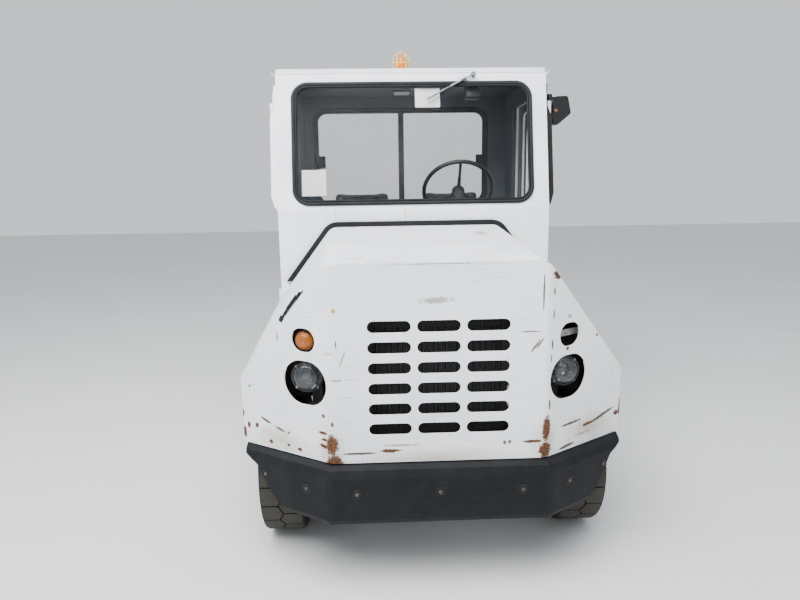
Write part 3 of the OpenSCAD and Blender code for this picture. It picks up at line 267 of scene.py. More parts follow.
HOOD_MARKS = (
    marks("dirt", (0, 1290, 1318, 520, 170, 90), (-40, 760, 1296, 120, 240, 60),
          (-220, 400, 1280, 150, 260, 60))
    + marks("scuff_and_shade", (300, 900, 1290, 90, 200, 60))
    + marks("rust", (-560, 700, 1034, 30, 700, 14), (560, 700, 1034, 30, 700, 12),
          (-393, 4, 1262, 26, 26, 22), (393, 4, 1262, 26, 26, 22))
)
CAB_MARKS = (
    marks("yellow", (-54, 1360, 1380, 4, 20, 46))
    + marks("dark", (-452, 1360, 1392, 2, 20, 48))
    + marks("dirt", (0, 1500, 1414, 760, 120, 12), (0, 2700, 955, 620, 240, 30))
    + marks("rust", (640, 2990, 960, 160, 30, 20), (-300, 2985, 955, 260, 30, 12),
          (776, 2200, 640, 20, 160, 60), (-776, 1900, 560, 20, 260, 50),
          (776, 1430, 560, 20, 70, 60), (-776, 1420, 560, 20, 60, 50))
)
DOOR_MARKS = [found for x in (805, -805) for found in (
    marks("rust", (x, 1870, 588, 20, 340, 16), (x, 1560, 700, 20, 14, 120),
          (x, 2180, 1000, 20, 12, 90))
    + marks("dirt", (x, 1860, 1270, 20, 250, 80), (x, 2110, 1180, 20, 90, 130))
    + marks("scrape", (x, 1850, 930, 20, 190, 7)))]
# Layers of wear and one painted shadow line, from the lowest: the marks' kind, two colours, how
# far it spreads from a mark's middle, how soft its edge is and how strongly it covers
WEAR = [
    ("dirt", "#8b8983", "#716f69", 0.34, 0.3, 0.5),
    ("stain", "#b09662", "#86703f", 0.75, 0.5, 0.6),
    ("scuff_and_shade", "#7b7975", "#514d49", 0.52, 0.12, 0.7),
    ("rust", "#a9824a", "#745a38", 0.66, 0.2, 0.5),
    ("scrape", "#4c2d12", "#160d07", 0.8, 0.12, 0.92),
    ("rust", "#703c0c", "#040302", 0.6, 0.07, 0.97),
    ("dark", "#15110e", "#2b2724", 0.85, 0.1, 0.9),
    ("yellow", "#c48a08", "#a87806", 0.8, 0.1, 0.9),
]
# Wear shows where its mark and the noise together pass this
WEAR_EDGE = 0.78


def looks_inwards(tree, place):
    """1 where a sheet round the engine looks inwards, backwards or down."""
    look = add(tree, "ShaderNodeSeparateXYZ", inputs={
        "Vector": add(tree, "ShaderNodeTexCoord").outputs["Normal"]})
    towards = joined(tree, PRODUCT, (look.outputs["X"], place.outputs["X"]))
    return joined(tree, LARGEST, [within(tree, limits) for limits in (
        [(look.outputs["Y"], "GREATER_THAN", 0.6)], [(look.outputs["Z"], "LESS_THAN", -0.5)],
        [(towards, "LESS_THAN", -0.2), (place.outputs["Y"], "GREATER_THAN", 0.245)])])


def within(tree, limits):
    """1 where every limit holds: a limit is a value, a comparison and a bound."""
    return joined(tree, PRODUCT, [
        add(tree, "ShaderNodeMath", {"operation": operation}, {0: value, 1: bound})
        for value, operation, bound in limits])


def worn_enamel(name, marked, inside_x=None):
    """White enamel on sheet steel with its marks; painted shade makes its inner faces near black,
    and darkens the grey interior paint inside the cab to a dull slate.

    The eye sees an even cool white with a slight orange peel, dust low down, and rust that
    breaks through in ragged brown patches along folds and edges."""
    tree, shader, where = material(name)
    local = add(tree, "ShaderNodeMapping", inputs={"Vector": where, "Location": tuple(-NOSE)})
    place = add(tree, "ShaderNodeSeparateXYZ", inputs={"Vector": local})
    broad, ragged, peel = (add(tree, "ShaderNodeTexNoise", inputs={
        "Vector": where, "Scale": 1 / (size * MM), "Detail": detail, "Roughness": rough})
        for size, detail, rough in ((350, 6.0, 0.65), (14, 8.0, 0.8), (4, 2.0, 0.5)))
    # Scratches run level or upright: noise drawn out 30 times along the body or down it
    drawn = []
    for scale in ((1 / 30, 1 / 30, 1), (1, 1, 1 / 30)):
        along = add(tree, "ShaderNodeMapping", inputs={"Vector": where, "Scale": scale})
        drawn.append(add(tree, "ShaderNodeTexNoise", inputs={
            "Vector": along, "Scale": 1 / (5 * MM), "Detail": 3.0, "Roughness": 0.6}))
    scored = joined(tree, LARGEST, drawn)
    spread = add(tree, "ShaderNodeMapRange", inputs={
        "Value": broad, "From Min": 0.35, "From Max": 0.7})
    colour = add(tree, "ShaderNodeMix", {"data_type": "RGBA"}, {
        "Factor": spread, "A": linear("#f6f8fc"), "B": linear("#e6eaf0")})
    # Road dust thins out upwards from the floor
    low = add(tree, "ShaderNodeMapRange", inputs={
        "Value": place.outputs["Z"], "From Min": 1.1, "From Max": 0.4})
    dust = joined(tree, PRODUCT, (low, broad, 0.45))
    # A web of fine scratches, where the broad noise lets it show
    fine = add(tree, "ShaderNodeMath", {"operation": "MULTIPLY_ADD"}, {
        0: broad, 1: 0.35, 2: scored})
    web = add(tree, "ShaderNodeMapRange", inputs={
        "Value": fine, "From Min": 0.82, "From Max": 0.92, "To Max": 0.5})
    layers = [(dust, linear("#a39d92")), (web, linear("#7c746b"))]
    # Ragged edges: mostly the plain noise, drawn out a little by the scratches
    torn_by = add(tree, "ShaderNodeMix", inputs={"Factor": 0.35, "A": ragged, "B": scored})
    mottle = add(tree, "ShaderNodeMapRange", inputs={
        "Value": peel, "From Min": 0.36, "From Max": 0.66})
    fades = {}
    for kind, middle_mm, half_mm, tilt, turn in marked:
        spot = add(tree, "ShaderNodeMapping", {"vector_type": "TEXTURE"}, {
            "Vector": local, "Location": tuple(v * MM for v in middle_mm),
            "Rotation": (0, tilt, turn), "Scale": tuple(v * MM for v in half_mm)})
        fade = add(tree, "ShaderNodeTexGradient", {"gradient_type": "SPHERICAL"}, {"Vector": spot})
        fades.setdefault(kind, []).append(fade.outputs["Fac"])
    covers = []
    for kind, light, dark, spread_out, soft, strength in WEAR:
        if kind not in fades:
            continue
        torn = add(tree, "ShaderNodeMath", {"operation": "MULTIPLY_ADD"}, {
            0: joined(tree, LARGEST, fades[kind]), 1: spread_out, 2: torn_by})
        covers.append(add(tree, "ShaderNodeMapRange", inputs={
            "Value": torn, "From Min": WEAR_EDGE, "From Max": WEAR_EDGE + soft,
            "To Max": strength}))
        layers.append((covers[-1], add(tree, "ShaderNodeMix", {"data_type": "RGBA"}, {
            "Factor": mottle, "A": linear(dark), "B": linear(light)})))
    covered = joined(tree, LARGEST, covers)
    across = add(tree, "ShaderNodeMath", {"operation": "ABSOLUTE"}, {0: place.outputs["X"]})
    if inside_x:
        # The bulkhead, inside the hood's section at its rear edge
        section = joined(tree, LARGEST, (across, HOOD_REAR_HALF * MM))
        reach = add(tree, "ShaderNodeMath", {"operation": "MULTIPLY_ADD"}, {
            0: section, 1: HOOD_FALL, 2: place.outputs["Z"]})
        inner = within(tree, [(reach, "LESS_THAN", 1.92), (across, "LESS_THAN", 0.765),
                              (place.outputs["Y"], "LESS_THAN", (CAB_FRONT + 1.5) * MM)])
    else:
        inner = looks_inwards(tree, place)
    # Inward-looking sheets and the bulkhead behind the engine are near black: painted shade, some
    # grime
    layers.append((inner, add(tree, "ShaderNodeMix", {"data_type": "RGBA"}, {
        "Factor": broad, "A": linear("#0c0c0c"), "B": linear("#26241f")})))
    if inside_x:
        # What lies within the cab's walls, roof and leaning front is dull slate: grey interior
        # paint darkened with painted shade
        behind = add(tree, "ShaderNodeVectorMath", {"operation": "DOT_PRODUCT"}, {
            0: local, 1: (0, math.cos(LEAN), -math.sin(LEAN))})
        front = (CAB_FRONT * math.cos(LEAN) - CREASE * math.sin(LEAN) + 30) * MM
        shaded_trim = within(tree, [(behind, "GREATER_THAN", front),
                             (place.outputs["Y"], "GREATER_THAN", (CAB_FRONT + 30) * MM),
                             (place.outputs["Y"], "LESS_THAN", (CAB_REAR - 30) * MM),
                             (place.outputs["Z"], "LESS_THAN", CEILING * MM),
                             (across, "LESS_THAN", inside_x * MM)])
        layers.append((shaded_trim, add(tree, "ShaderNodeMix", {"data_type": "RGBA"}, {
            "Factor": broad, "A": linear("#2f343b"), "B": linear("#454b54")})))
    for factor, tint in layers:
        colour = add(tree, "ShaderNodeMix", {"data_type": "RGBA"}, {
            "Factor": factor, "A": colour, "B": tint})
    polish = add(tree, "ShaderNodeMapRange", inputs={"Value": peel, "To Min": 0.34, "To Max": 0.5})
    polish = add(tree, "ShaderNodeMix", inputs={"Factor": covered, "A": polish, "B": 0.9})
    bump = add(tree, "ShaderNodeBump", inputs={
        "Height": peel, "Strength": 0.6, "Distance": 0.08 * MM})
    bump = add(tree, "ShaderNodeBump", inputs={
        "Height": joined(tree, PRODUCT, (covered, ragged)), "Strength": 0.8,
        "Distance": 0.8 * MM, "Normal": bump})
    feed(tree, shader, {"Base Color": colour, "Roughness": polish, "Normal": bump})


def worn_tread(name):
    """Tyre tread: brown dust ground into its running face, and black rubber on its shoulders."""
    tree, shader, where = material(name)
    local = add(tree, "ShaderNodeMapping", inputs={"Vector": where, "Location": tuple(-NOSE)})
    patches, grit = (add(tree, "ShaderNodeTexNoise", inputs={
        "Vector": where, "Scale": 1 / (size * MM), "Detail": detail, "Roughness": rough})
        for size, detail, rough in ((50, 6.0, 0.7), (3, 3.0, 0.5)))
    dust = add(tree, "ShaderNodeMix", {"data_type": "RGBA"}, {
        "Factor": patches, "A": linear("#1a1815"), "B": linear("#423e37")})
    place = add(tree, "ShaderNodeSeparateXYZ", inputs={"Vector": local})
    across = add(tree, "ShaderNodeMath", {"operation": "ABSOLUTE"}, {0: place.outputs["X"]})
    shoulder = add(tree, "ShaderNodeMapRange", inputs={
        "Value": across, "From Min": TYRE_X + 0.074, "From Max": TYRE_X + 0.084})
    colour = add(tree, "ShaderNodeMix", {"data_type": "RGBA"}, {
        "Factor": shoulder, "A": dust, "B": linear("#0d0d0d")})
    bump = add(tree, "ShaderNodeBump", inputs={
        "Height": grit, "Strength": 1.0, "Distance": 0.5 * MM})
    feed(tree, shader, {"Base Color": colour, "Roughness": 0.9, "Normal": bump})


def dirty_glass(name):
    """Tempered cab glass: clear with a grey tint, and a film of dust that gathers low down."""
    tree, shader, where = material(name)
    film = add(tree, "ShaderNodeTexNoise", inputs={
        "Vector": where, "Scale": 1 / (180 * MM), "Detail": 7.0, "Roughness": 0.7})
    height = add(tree, "ShaderNodeSeparateXYZ", inputs={"Vector": where})
    low = add(tree, "ShaderNodeMapRange", inputs={
        "Value": height.outputs["Z"], "From Min": 2.1, "From Max": 1.35, "To Min": 0.5})
    dust = joined(tree, PRODUCT, (film, low))
    colour = add(tree, "ShaderNodeMix", {"data_type": "RGBA"}, {
        "Factor": dust, "A": linear("#1b2125"), "B": linear("#7b8187")})
    cover = add(tree, "ShaderNodeMapRange", inputs={
        "Value": dust, "From Min": 0.2, "From Max": 0.7, "To Min": 0.03, "To Max": 0.1})
    polish = add(tree, "ShaderNodeMapRange", inputs={"Value": dust, "To Min": 0.03, "To Max": 0.2})
    feed(tree, shader, {"Base Color": colour, "Alpha": cover, "Roughness": polish})


def finned_core(name):
    """A radiator core: black paint over folded fins, which read as fine upright lines."""
    tree, shader, where = material(name)
    # The real fins stand 2 mm apart; 9 mm is the finest that shows through the slots
    fins = add(tree, "ShaderNodeTexWave", {"wave_type": "BANDS", "bands_direction": "X"}, {
        "Vector": where, "Scale": math.tau / (20 * 9 * MM),
        "Distortion": 0.3, "Detail": 1.0}).outputs["Fac"]
    colour = add(tree, "ShaderNodeMix", {"data_type": "RGBA"}, {
        "Factor": fins, "A": linear("#08090a"), "B": linear("#2c2e30")})
    bump = add(tree, "ShaderNodeBump", inputs={
        "Height": fins, "Strength": 1.0, "Distance": 2 * MM})
    feed(tree, shader, {"Base Color": colour, "Roughness": 0.6, "Normal": bump})


def make_finishes():
    """Every finish of the tug, by the name of the real material."""
    worn_enamel("white_enamel_nose", NOSE_MARKS)
    worn_enamel("white_enamel_hood", HOOD_MARKS)
    worn_enamel("white_enamel_cab", CAB_MARKS, inside_x=760)
    worn_enamel("white_enamel_doors", DOOR_MARKS, inside_x=790)
    # Moulded rubber: near black with a grey bloom where it has been rubbed
    speckled("scuffed_bumper_rubber", "#040507", "#0e1116", 3, (0.55, 0.8), 0.3, patch_mm=70,
             Specular_IOR_Level=0.25)
    speckled("moulded_black_rubber", "#08090a", "#131416", 2, (0.5, 0.7), 0.05,
             Specular_IOR_Level=0.3)
    speckled("grey_weathered_rubber", "#16181a", "#26282b", 2, (0.6, 0.8), 0.05,
             Specular_IOR_Level=0.3)
    # Carbon-black tyre rubber: dull sides, and a tread browned by dust
    speckled("sidewall_rubber", "#100f0f", "#25221f", 3, (0.7, 0.85), 0.15, patch_mm=120)
    worn_tread("dusty_tread_rubber")
    # Brushed-on black paint that has gone dull and dusty
    speckled("black_chassis_paint", "#101113", "#26241f", 3, (0.5, 0.75), 0.2)
    speckled("olive_engine_paint", "#3c423c", "#24282a", 3, (0.45, 0.65), 0.2)
    # Rolled enamel on wheel steel, stained by brake dust
    speckled("white_wheel_enamel", "#d6d6cf", "#9a9384", 5, (0.4, 0.65), 0.1, patch_mm=90)
    # Grained vinyl with a soft sheen, its grain drawn at 2 mm so that it shows
    speckled("grained_seat_vinyl", "#111316", "#202328", 2, (0.38, 0.55), 0.25,
             Sheen_Weight=0.15, Sheen_Roughness=0.4)
    # Hard plastics: a satin gloss with hardly any grain
    speckled("hard_black_plastic", "#060708", "#0e0f10", 1, (0.28, 0.42), 0.02)
    speckled("grained_dash_plastic", "#121416", "#1d2023", 1.5, (0.55, 0.7), 0.15)
    # Acrylic lenses: deep colour with a clear gloss
    speckled("amber_acrylic", "#a85c00", "#824000", 10, (0.2, 0.3), 0, Coat_Weight=0.2)
    # The beacon's thin dome glows a little with the daylight that comes through it
    speckled("glowing_beacon_acrylic", "#f08c0c", "#d06a04", 10, (0.2, 0.3), 0,
             Emission_Color=linear("#ff9a20"), Emission_Strength=0.25)
    speckled("red_acrylic", "#a81414", "#7d0d0d", 10, (0.12, 0.2), 0, Coat_Weight=0.6)
    speckled("milky_acrylic", "#dcdedc", "#cfd1cf", 10, (0.3, 0.4), 0)
    # Thick paint on wire, chipped and faded to straw
    speckled("straw_wire_paint", "#efd27a", "#cf9a2c", 3, (0.4, 0.55), 0.2, patch_mm=20)
    # Metals
    speckled("dull_zinc_steel", "#82858a", "#56595d", 2, (0.35, 0.5), 0.05, 1.0, patch_mm=30)
    speckled("rusty_bolt_steel", "#9b6a48", "#5b3422", 3, (0.6, 0.85), 0.4, 0.3, patch_mm=10)
    speckled("dusty_bolt_steel", "#5a554b", "#2c2924", 3, (0.6, 0.8), 0.2, 0.2, patch_mm=8)
    speckled("rust_stained_strap", "#a08f78", "#6e3d20", 3, (0.6, 0.8), 0.2, patch_mm=30)
    speckled("bare_pin_steel", "#b4b6b8", "#85878a", 1, (0.3, 0.45), 0.05, 1.0, patch_mm=30)
    speckled("chromed_brass", "#e8eaec", "#d5d8db", 1, (0.04, 0.1), 0, 1.0)
    speckled("silvered_mirror_glass", "#e6e9eb", "#dde0e3", 1, (0.02, 0.04), 0, 1.0)
    speckled("grey_strap_paint", "#9a9c98", "#6f716c", 3, (0.5, 0.7), 0.1, patch_mm=30)
    # Pressed lens glass: clear, lit from the bowl behind it, and half covered with a dark grey
    # of painted shade and dark reflections
    speckled("pressed_lens_glass", "#30363a", "#1d2226", 20, (0.03, 0.08), 0, Alpha=0.5,
             Coat_Weight=1.0)
    dirty_glass("dusty_cab_glass")
    finned_core("folded_fin_core")
    speckled("blank_white_paper", "#dfe0dd", "#cfd0cc", 2, (0.8, 0.9), 0.05)
    speckled("grey_floor_mat", "#3b3d3f", "#2c2e30", 4, (0.8, 0.9), 0.5)
    speckled("pale_studio_floor", "#d9dadb", "#d4d5d6", 40, (0.8, 0.9), 0, patch_mm=900)


NODE_FINISH = {
    "white_enamel_nose": ["nose_panel", "fender_left", "fender_right"],
    "white_enamel_hood": ["hood"],
    "white_enamel_cab": ["cab_front", "cab_rear", "cab_side_left", "cab_side_right", "cab_roof",
                         "rear_deck"],
    "white_enamel_doors": ["door_left", "door_right"],
    "scuffed_bumper_rubber": ["front_bumper"],
    "moulded_black_rubber": ["hood_seal", "window_seals", "door_left_seal", "door_right_seal",
                             "hood_latch"],
    "hard_black_plastic": ["mirror", "steering_wheel"],
    "grained_dash_plastic": ["dashboard"],
    "black_chassis_paint": ["chassis_frame", "rear_plate", "front_axle", "rear_axle",
                            "knuckle_left", "knuckle_right", "tie_rod", "seat_box"],
    "folded_fin_core": ["radiator"],
    "olive_engine_paint": ["engine_block"],
    "dusty_cab_glass": ["cab_glass", "door_left_glass", "door_right_glass"],
    "white_wheel_enamel": ["rim_front_left", "rim_front_right", "rim_rear_left",
                           "rim_rear_right"],
    "sidewall_rubber": ["tyre_front_left", "tyre_front_right", "tyre_rear_left",
                        "tyre_rear_right"],
    "grained_seat_vinyl": ["seat_driver", "seat_passenger"],
    "amber_acrylic": ["beacon", "indicator_lamp"],
    "red_acrylic": ["tail_lamps"],
    "straw_wire_paint": ["beacon_guard"],
    "grey_strap_paint": ["headlamps"],
    "dull_zinc_steel": ["wiper"],
    "bare_pin_steel": ["hitch_pin"],
    "grey_floor_mat": ["cab_floor"],
}
WHEELS = {"front_left": LEFT, "front_right": RIGHT, "rear_left": LEFT, "rear_right": RIGHT}


# Mesh making

def placed_in_scene(name, mesh):
    """A new object of a mesh."""
    made = bpy.data.objects.new(name, mesh)
    bpy.context.collection.objects.link(made)
    return made


def mesh_of(name, work):
    """Ends a bmesh: its faces look outwards, and it becomes a mesh."""
    bmesh.ops.recalc_face_normals(work, faces=work.faces)
    mesh = bpy.data.meshes.new(name)
    work.to_mesh(mesh)
    work.free()
    return mesh


def evaluated(made):
    """A new mesh of an object, as its modifiers leave it."""
    depsgraph = bpy.context.evaluated_depsgraph_get()
    return bpy.data.meshes.new_from_object(made.evaluated_get(depsgraph))


def template(name, draw):
    """An object that a tree repeats, drawn by a function; it is removed after its last use."""
    work = bmesh.new()
    draw(work)
    return placed_in_scene(name, mesh_of(name, work))


def finished(name, mesh, finish, body, stands_for=(), smooth=35):
    """Makes a piece of a mesh: its finish, the body it rides on and the nodes it stands for."""
    mesh.materials.clear()
    mesh.materials.append(bpy.data.materials[finish])
    mesh.polygons.foreach_set("use_smooth", [True] * len(mesh.polygons))
    mesh.set_sharp_from_angle(angle=math.radians(smooth))
    made = placed_in_scene(name, mesh)
    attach(made, body)
    if stands_for:
        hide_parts(*stands_for)
    return made


def piece(name, work, finish, body, stands_for=(), smooth=35):
    """Turns a bmesh into a finished piece."""
    return finished(name, mesh_of(name, work), finish, body, stands_for, smooth)


def pieces(stands_for, *rows):
    """Turns bmeshes into pieces on the body: rows of a name, a bmesh, a finish and a slot, which is
    not used.
    """
    for name, work, finish, slot in rows:
        piece(name, work, finish, "body", stands_for)


def skin(work, rows, around=True):
    """Adds faces between each row of vertices and the next; a row of one is a pole."""
    for low, high in zip(rows, rows[1:]):
        count = max(len(low), len(high))
        if count == 1:
            continue
        for k in range(count if around else count - 1):
            n = (k + 1) % count
            if len(low) == 1:
                work.faces.new((low[0], high[n], high[k]))
            elif len(high) == 1:
                work.faces.new((low[k], low[n], high[0]))
            else:
                work.faces.new((low[k], low[n], high[n], high[k]))


def turned(work, profile, place, steps=48):
    """Adds a lathe-turned form: the profile's pairs are radius and height in millimetres."""
    rings = []
    for radius, height in profile:
        angles = round_turn(steps) if radius else [0]
        rings.append([work.verts.new(round_in(place, radius, a, height)) for a in angles])
    skin(work, rings)


def block(work, place, low, high, round_mm=2.0, steps=2):
    """Adds a block between two corners in millimetres, with its edges rounded."""
    low, high = Vector(low) * MM, Vector(high) * MM
    size = Matrix.Diagonal((*(high - low), 1))
    made = bmesh.ops.create_cube(
        work, size=1, matrix=place @ Matrix.Translation((low + high) / 2) @ size)
    edges = list({edge for vert in made["verts"] for edge in vert.link_edges})
    bmesh.ops.bevel(work, geom=edges, offset=round_mm * MM, segments=steps, affect="EDGES",
                    profile=0.5)


def strap(work, place, half_width, half_span, depth):
    """Adds a bracket behind an opening: a back along y, and a foot at each end."""
    for end in (-1, 1):
        y = end * (half_span - 1.5)
        block(work, place, (-half_width, y - 1.5, -depth), (half_width, y + 1.5, -5), 1)
    block(work, place, (-half_width, -half_span, -depth), (half_width, half_span, 3 - depth), 1)


def rounded_path(width, height, radius, place, steps=8):
    """The points of a rounded rectangle in millimetres, in a frame's x-y plane."""
    points = []
    for k, (sx, sy) in enumerate([(1, 1), (-1, 1), (-1, -1), (1, -1)]):
        for i in range(steps + 1):
            a = math.pi / 2 * (k + i / steps)
            points.append(inside(place, sx * (width / 2 - radius) + radius * math.cos(a),
                                 sy * (height / 2 - radius) + radius * math.sin(a), 0))
    return points


# Geometry Nodes

def new_tree(name, sockets):
    """An empty Geometry Nodes tree with named inputs: a label, a socket type and a default."""
    tree = bpy.data.node_groups.new(name, "GeometryNodeTree")
    tree.interface.new_socket("Geometry", in_out="INPUT", socket_type="NodeSocketGeometry")
    for label, kind, default in sockets:
        socket = tree.interface.new_socket(label, in_out="INPUT", socket_type=kind)
        if default is not None:
            socket.default_value = default
    tree.interface.new_socket("Geometry", in_out="OUTPUT", socket_type="NodeSocketGeometry")
    return tree, add(tree, "NodeGroupInput").outputs


def close_tree(tree, geometry, given):
    """Ends a tree: instances made real, and the finish set."""
    real = add(tree, "GeometryNodeRealizeInstances", inputs={"Geometry": geometry})
    painted = add(tree, "GeometryNodeSetMaterial", inputs={
        "Geometry": real, "Material": given["Finish"]})
    add(tree, "NodeGroupOutput", inputs={"Geometry": painted})
    return tree


def fastener_tree(name):
    """Sets a fastener on every point, along the point's own direction, turned at random."""
    tree, given = new_tree(name, [
        ("Fastener", "NodeSocketObject", None), ("Size", "NodeSocketFloat", 1.0),
        ("Turn", "NodeSocketFloat", math.pi), ("Seed", "NodeSocketInt", 7),
        ("Finish", "NodeSocketMaterial", None)])
    head = add(tree, "GeometryNodeObjectInfo", inputs={"Object": given["Fastener"]})
    out = add(tree, "GeometryNodeInputNamedAttribute", {"data_type": "FLOAT_VECTOR"},
              {"Name": "facing"})
    aimed = add(tree, "FunctionNodeAlignRotationToVector", {"axis": "Z"}, {"Vector": out})
    random = add(tree, "FunctionNodeRandomValue", {"data_type": "FLOAT"}, {
        "Max": given["Turn"], "Seed": given["Seed"]})
    spin = add(tree, "ShaderNodeCombineXYZ", inputs={"Z": random})
    turned_by = add(tree, "FunctionNodeRotateRotation", {"rotation_space": "LOCAL"}, {
        "Rotation": aimed, "Rotate By": spin})
    placed = add(tree, "GeometryNodeInstanceOnPoints", inputs={
        "Points": given["Geometry"], "Instance": head.outputs["Geometry"],
        "Rotation": turned_by, "Scale": given["Size"]})
    return close_tree(tree, placed, given)


def tread_tree(name):
    """Repeats one pitch of tread round a wheel's axle."""
    tree, given = new_tree(name, [
        ("Tread", "NodeSocketObject", None), ("Pitches", "NodeSocketInt", 22),
        ("Axle", "NodeSocketVector", None), ("Finish", "NodeSocketMaterial", None)])
    line = add(tree, "GeometryNodeMeshLine", inputs={
        "Count": given["Pitches"], "Start Location": given["Axle"], "Offset": (0, 0, 0)})
    index = add(tree, "GeometryNodeInputIndex")
    pitch = add(tree, "ShaderNodeMath", {"operation": "DIVIDE"}, {0: math.tau, 1: given["Pitches"]})
    angle = joined(tree, PRODUCT, (index, pitch))
    turn = add(tree, "ShaderNodeCombineXYZ", inputs={"X": angle})
    source = add(tree, "GeometryNodeObjectInfo", inputs={"Object": given["Tread"]})
    placed = add(tree, "GeometryNodeInstanceOnPoints", inputs={
        "Points": line, "Instance": source.outputs["Geometry"], "Rotation": turn})
    return close_tree(tree, placed, given)


def bead_tree(name):
    """Sweeps a round bead along the edges of a mesh."""
    tree, given = new_tree(name, [
        ("Radius", "NodeSocketFloat", 0.004), ("Sides", "NodeSocketInt", 10),
        ("Finish", "NodeSocketMaterial", None)])
    path = add(tree, "GeometryNodeMeshToCurve", inputs={"Mesh": given["Geometry"]})
    section = add(tree, "GeometryNodeCurvePrimitiveCircle", {"mode": "RADIUS"}, {
        "Resolution": given["Sides"], "Radius": given["Radius"]})
    swept = add(tree, "GeometryNodeCurveToMesh", inputs={
        "Curve": path, "Profile Curve": section, "Fill Caps": True})
    return close_tree(tree, swept, given)


def grown(name, base, make_tree, values, finish, body, stands_for=()):
    """Runs a tree on a mesh and keeps the result as a plain piece."""
    values = {**values, "Finish": bpy.data.materials[finish]}
    called = make_tree.__name__
    tree = bpy.data.node_groups.get(called) or make_tree(called)
    carrier = placed_in_scene(name + "_carrier", base)
    modifier = carrier.modifiers.new("grow", "NODES")
    modifier.node_group = tree
    for item in tree.interface.items_tree:
        if item.item_type == "SOCKET" and item.in_out == "INPUT" and item.name in values:
            modifier[item.identifier] = values[item.name]
    mesh = evaluated(carrier)
    carrier.modifiers.remove(modifier)
    bpy.data.objects.remove(carrier)
    if not mesh.polygons:
        raise RuntimeError(f"{name} came out empty")
    finished(name, mesh, finish, body, stands_for)


def fasteners(name, spots, head, finish, body, size=1.0):
    """Sets a fastener, drawn by head, on each spot: pairs of a point and its direction out."""
    base = bpy.data.meshes.new(name + "_points")
    base.from_pydata([spot for spot, _ in spots], [], [])
    out = base.attributes.new("facing", "FLOAT_VECTOR", "POINT")
    out.data.foreach_set("vector", [v for _, facing_out in spots for v in Vector(facing_out)])
    drawn = template(name + "_head", head)
    grown(name, base, fastener_tree, {"Fastener": drawn, "Size": size}, finish, body)
    bpy.data.objects.remove(drawn)


def beads(name, paths, radius, finish, body):
    """Sweeps a bead along each closed path of points."""
    points, edges = [], []
    for path in paths:
        first = len(points)
        points += [tuple(p) for p in path]
        edges += [(i, i + 1) for i in range(first, len(points) - 1)]
        edges.append((len(points) - 1, first))
    base = bpy.data.meshes.new(name + "_path")
    base.from_pydata(points, edges, [])
    grown(name, base, bead_tree, {"Radius": radius * MM}, finish, body)


def hex_head(work):
    """A hexagonal bolt head, 17 mm across flats, on a washer."""
    turned(work, [(0, 0), (13, 0), (13, 2), (9, 2)], Matrix(), 24)
    turned(work, [(0, 2), (9.8, 2), (9.8, 8), (8.2, 9.5), (0, 9.5)], Matrix(), 6)


def round_head(work):
    """A cross-head screw's low dome, 11 mm wide."""
    turned(work, [(0, 0), (5.5, 0), (5.2, 1.2), (4, 2.4), (1.6, 3), (1.6, 1.8), (0, 1.6)],
           Matrix(), 16)


def bolt_recess(work):
    """The raised lip of the recess round a bumper bolt."""
    turned(work, [(11, -2), (19, -2), (19, 0.5), (17, 2), (14, 2), (11, 0.4), (11, -2)],
           Matrix(), 28)


def sunk_head(work):
    """The worn head of a bumper bolt, nearly flush with the rubber."""
    turned(work, [(0, -1), (8.5, -1), (8.5, 2.5), (7, 3.5), (3, 3.7), (0, 3.7)], Matrix(), 6)


# Settings

class TyreSettings(bpy.types.PropertyGroup):
    pitches: IntProperty(name="Tread pitches", default=22, min=8,
                         description="Number of tread blocks round each side of a tyre")
    groove: FloatProperty(name="Groove width", description="Width of the grooves in the tread",
                          default=7 * MM, subtype="DISTANCE")
    depth: FloatProperty(name="Tread depth", description="Depth of the grooves in the tread",
                         default=9 * MM, subtype="DISTANCE")


class SeatSettings(bpy.types.PropertyGroup):
    swell: FloatProperty(name="Swell", description="Most that the padding pushes a cover outwards",
                         default=22 * MM, subtype="DISTANCE")
    pressure: FloatProperty(name="Pressure", description="Air pressure that fills the padding",
                            default=4.0)
    cell: FloatProperty(name="Cover cell", description="Size of the cover's mesh cells",
                        default=7 * MM, subtype="DISTANCE")


class StageSettings(bpy.types.PropertyGroup):
    floor_size: FloatProperty(
        name="Floor size", description="Length of each side of the floor",
        default=40.0, unit="LENGTH")
    sky_strength: FloatProperty(
        name="Sky strength", description="Brightness of the soft light from all sides", default=1.0)
    key_power: FloatProperty(
        name="Key light power", description="Power of the large lamp above the nose",
        default=700.0, subtype="POWER")


# Operators

class TUG_OT_finishes(bpy.types.Operator):
    """Gives every CAD node the finish of its real material"""
    bl_idname = "tug.finishes"
    bl_label = "Finish the CAD Nodes"

    def execute(self, context):
        make_finishes()
        for finish, nodes in NODE_FINISH.items():
            for name in nodes:
                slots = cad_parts[name].data.materials
                slots.clear()
                slots.append(bpy.data.materials[finish])
        return {"FINISHED"}


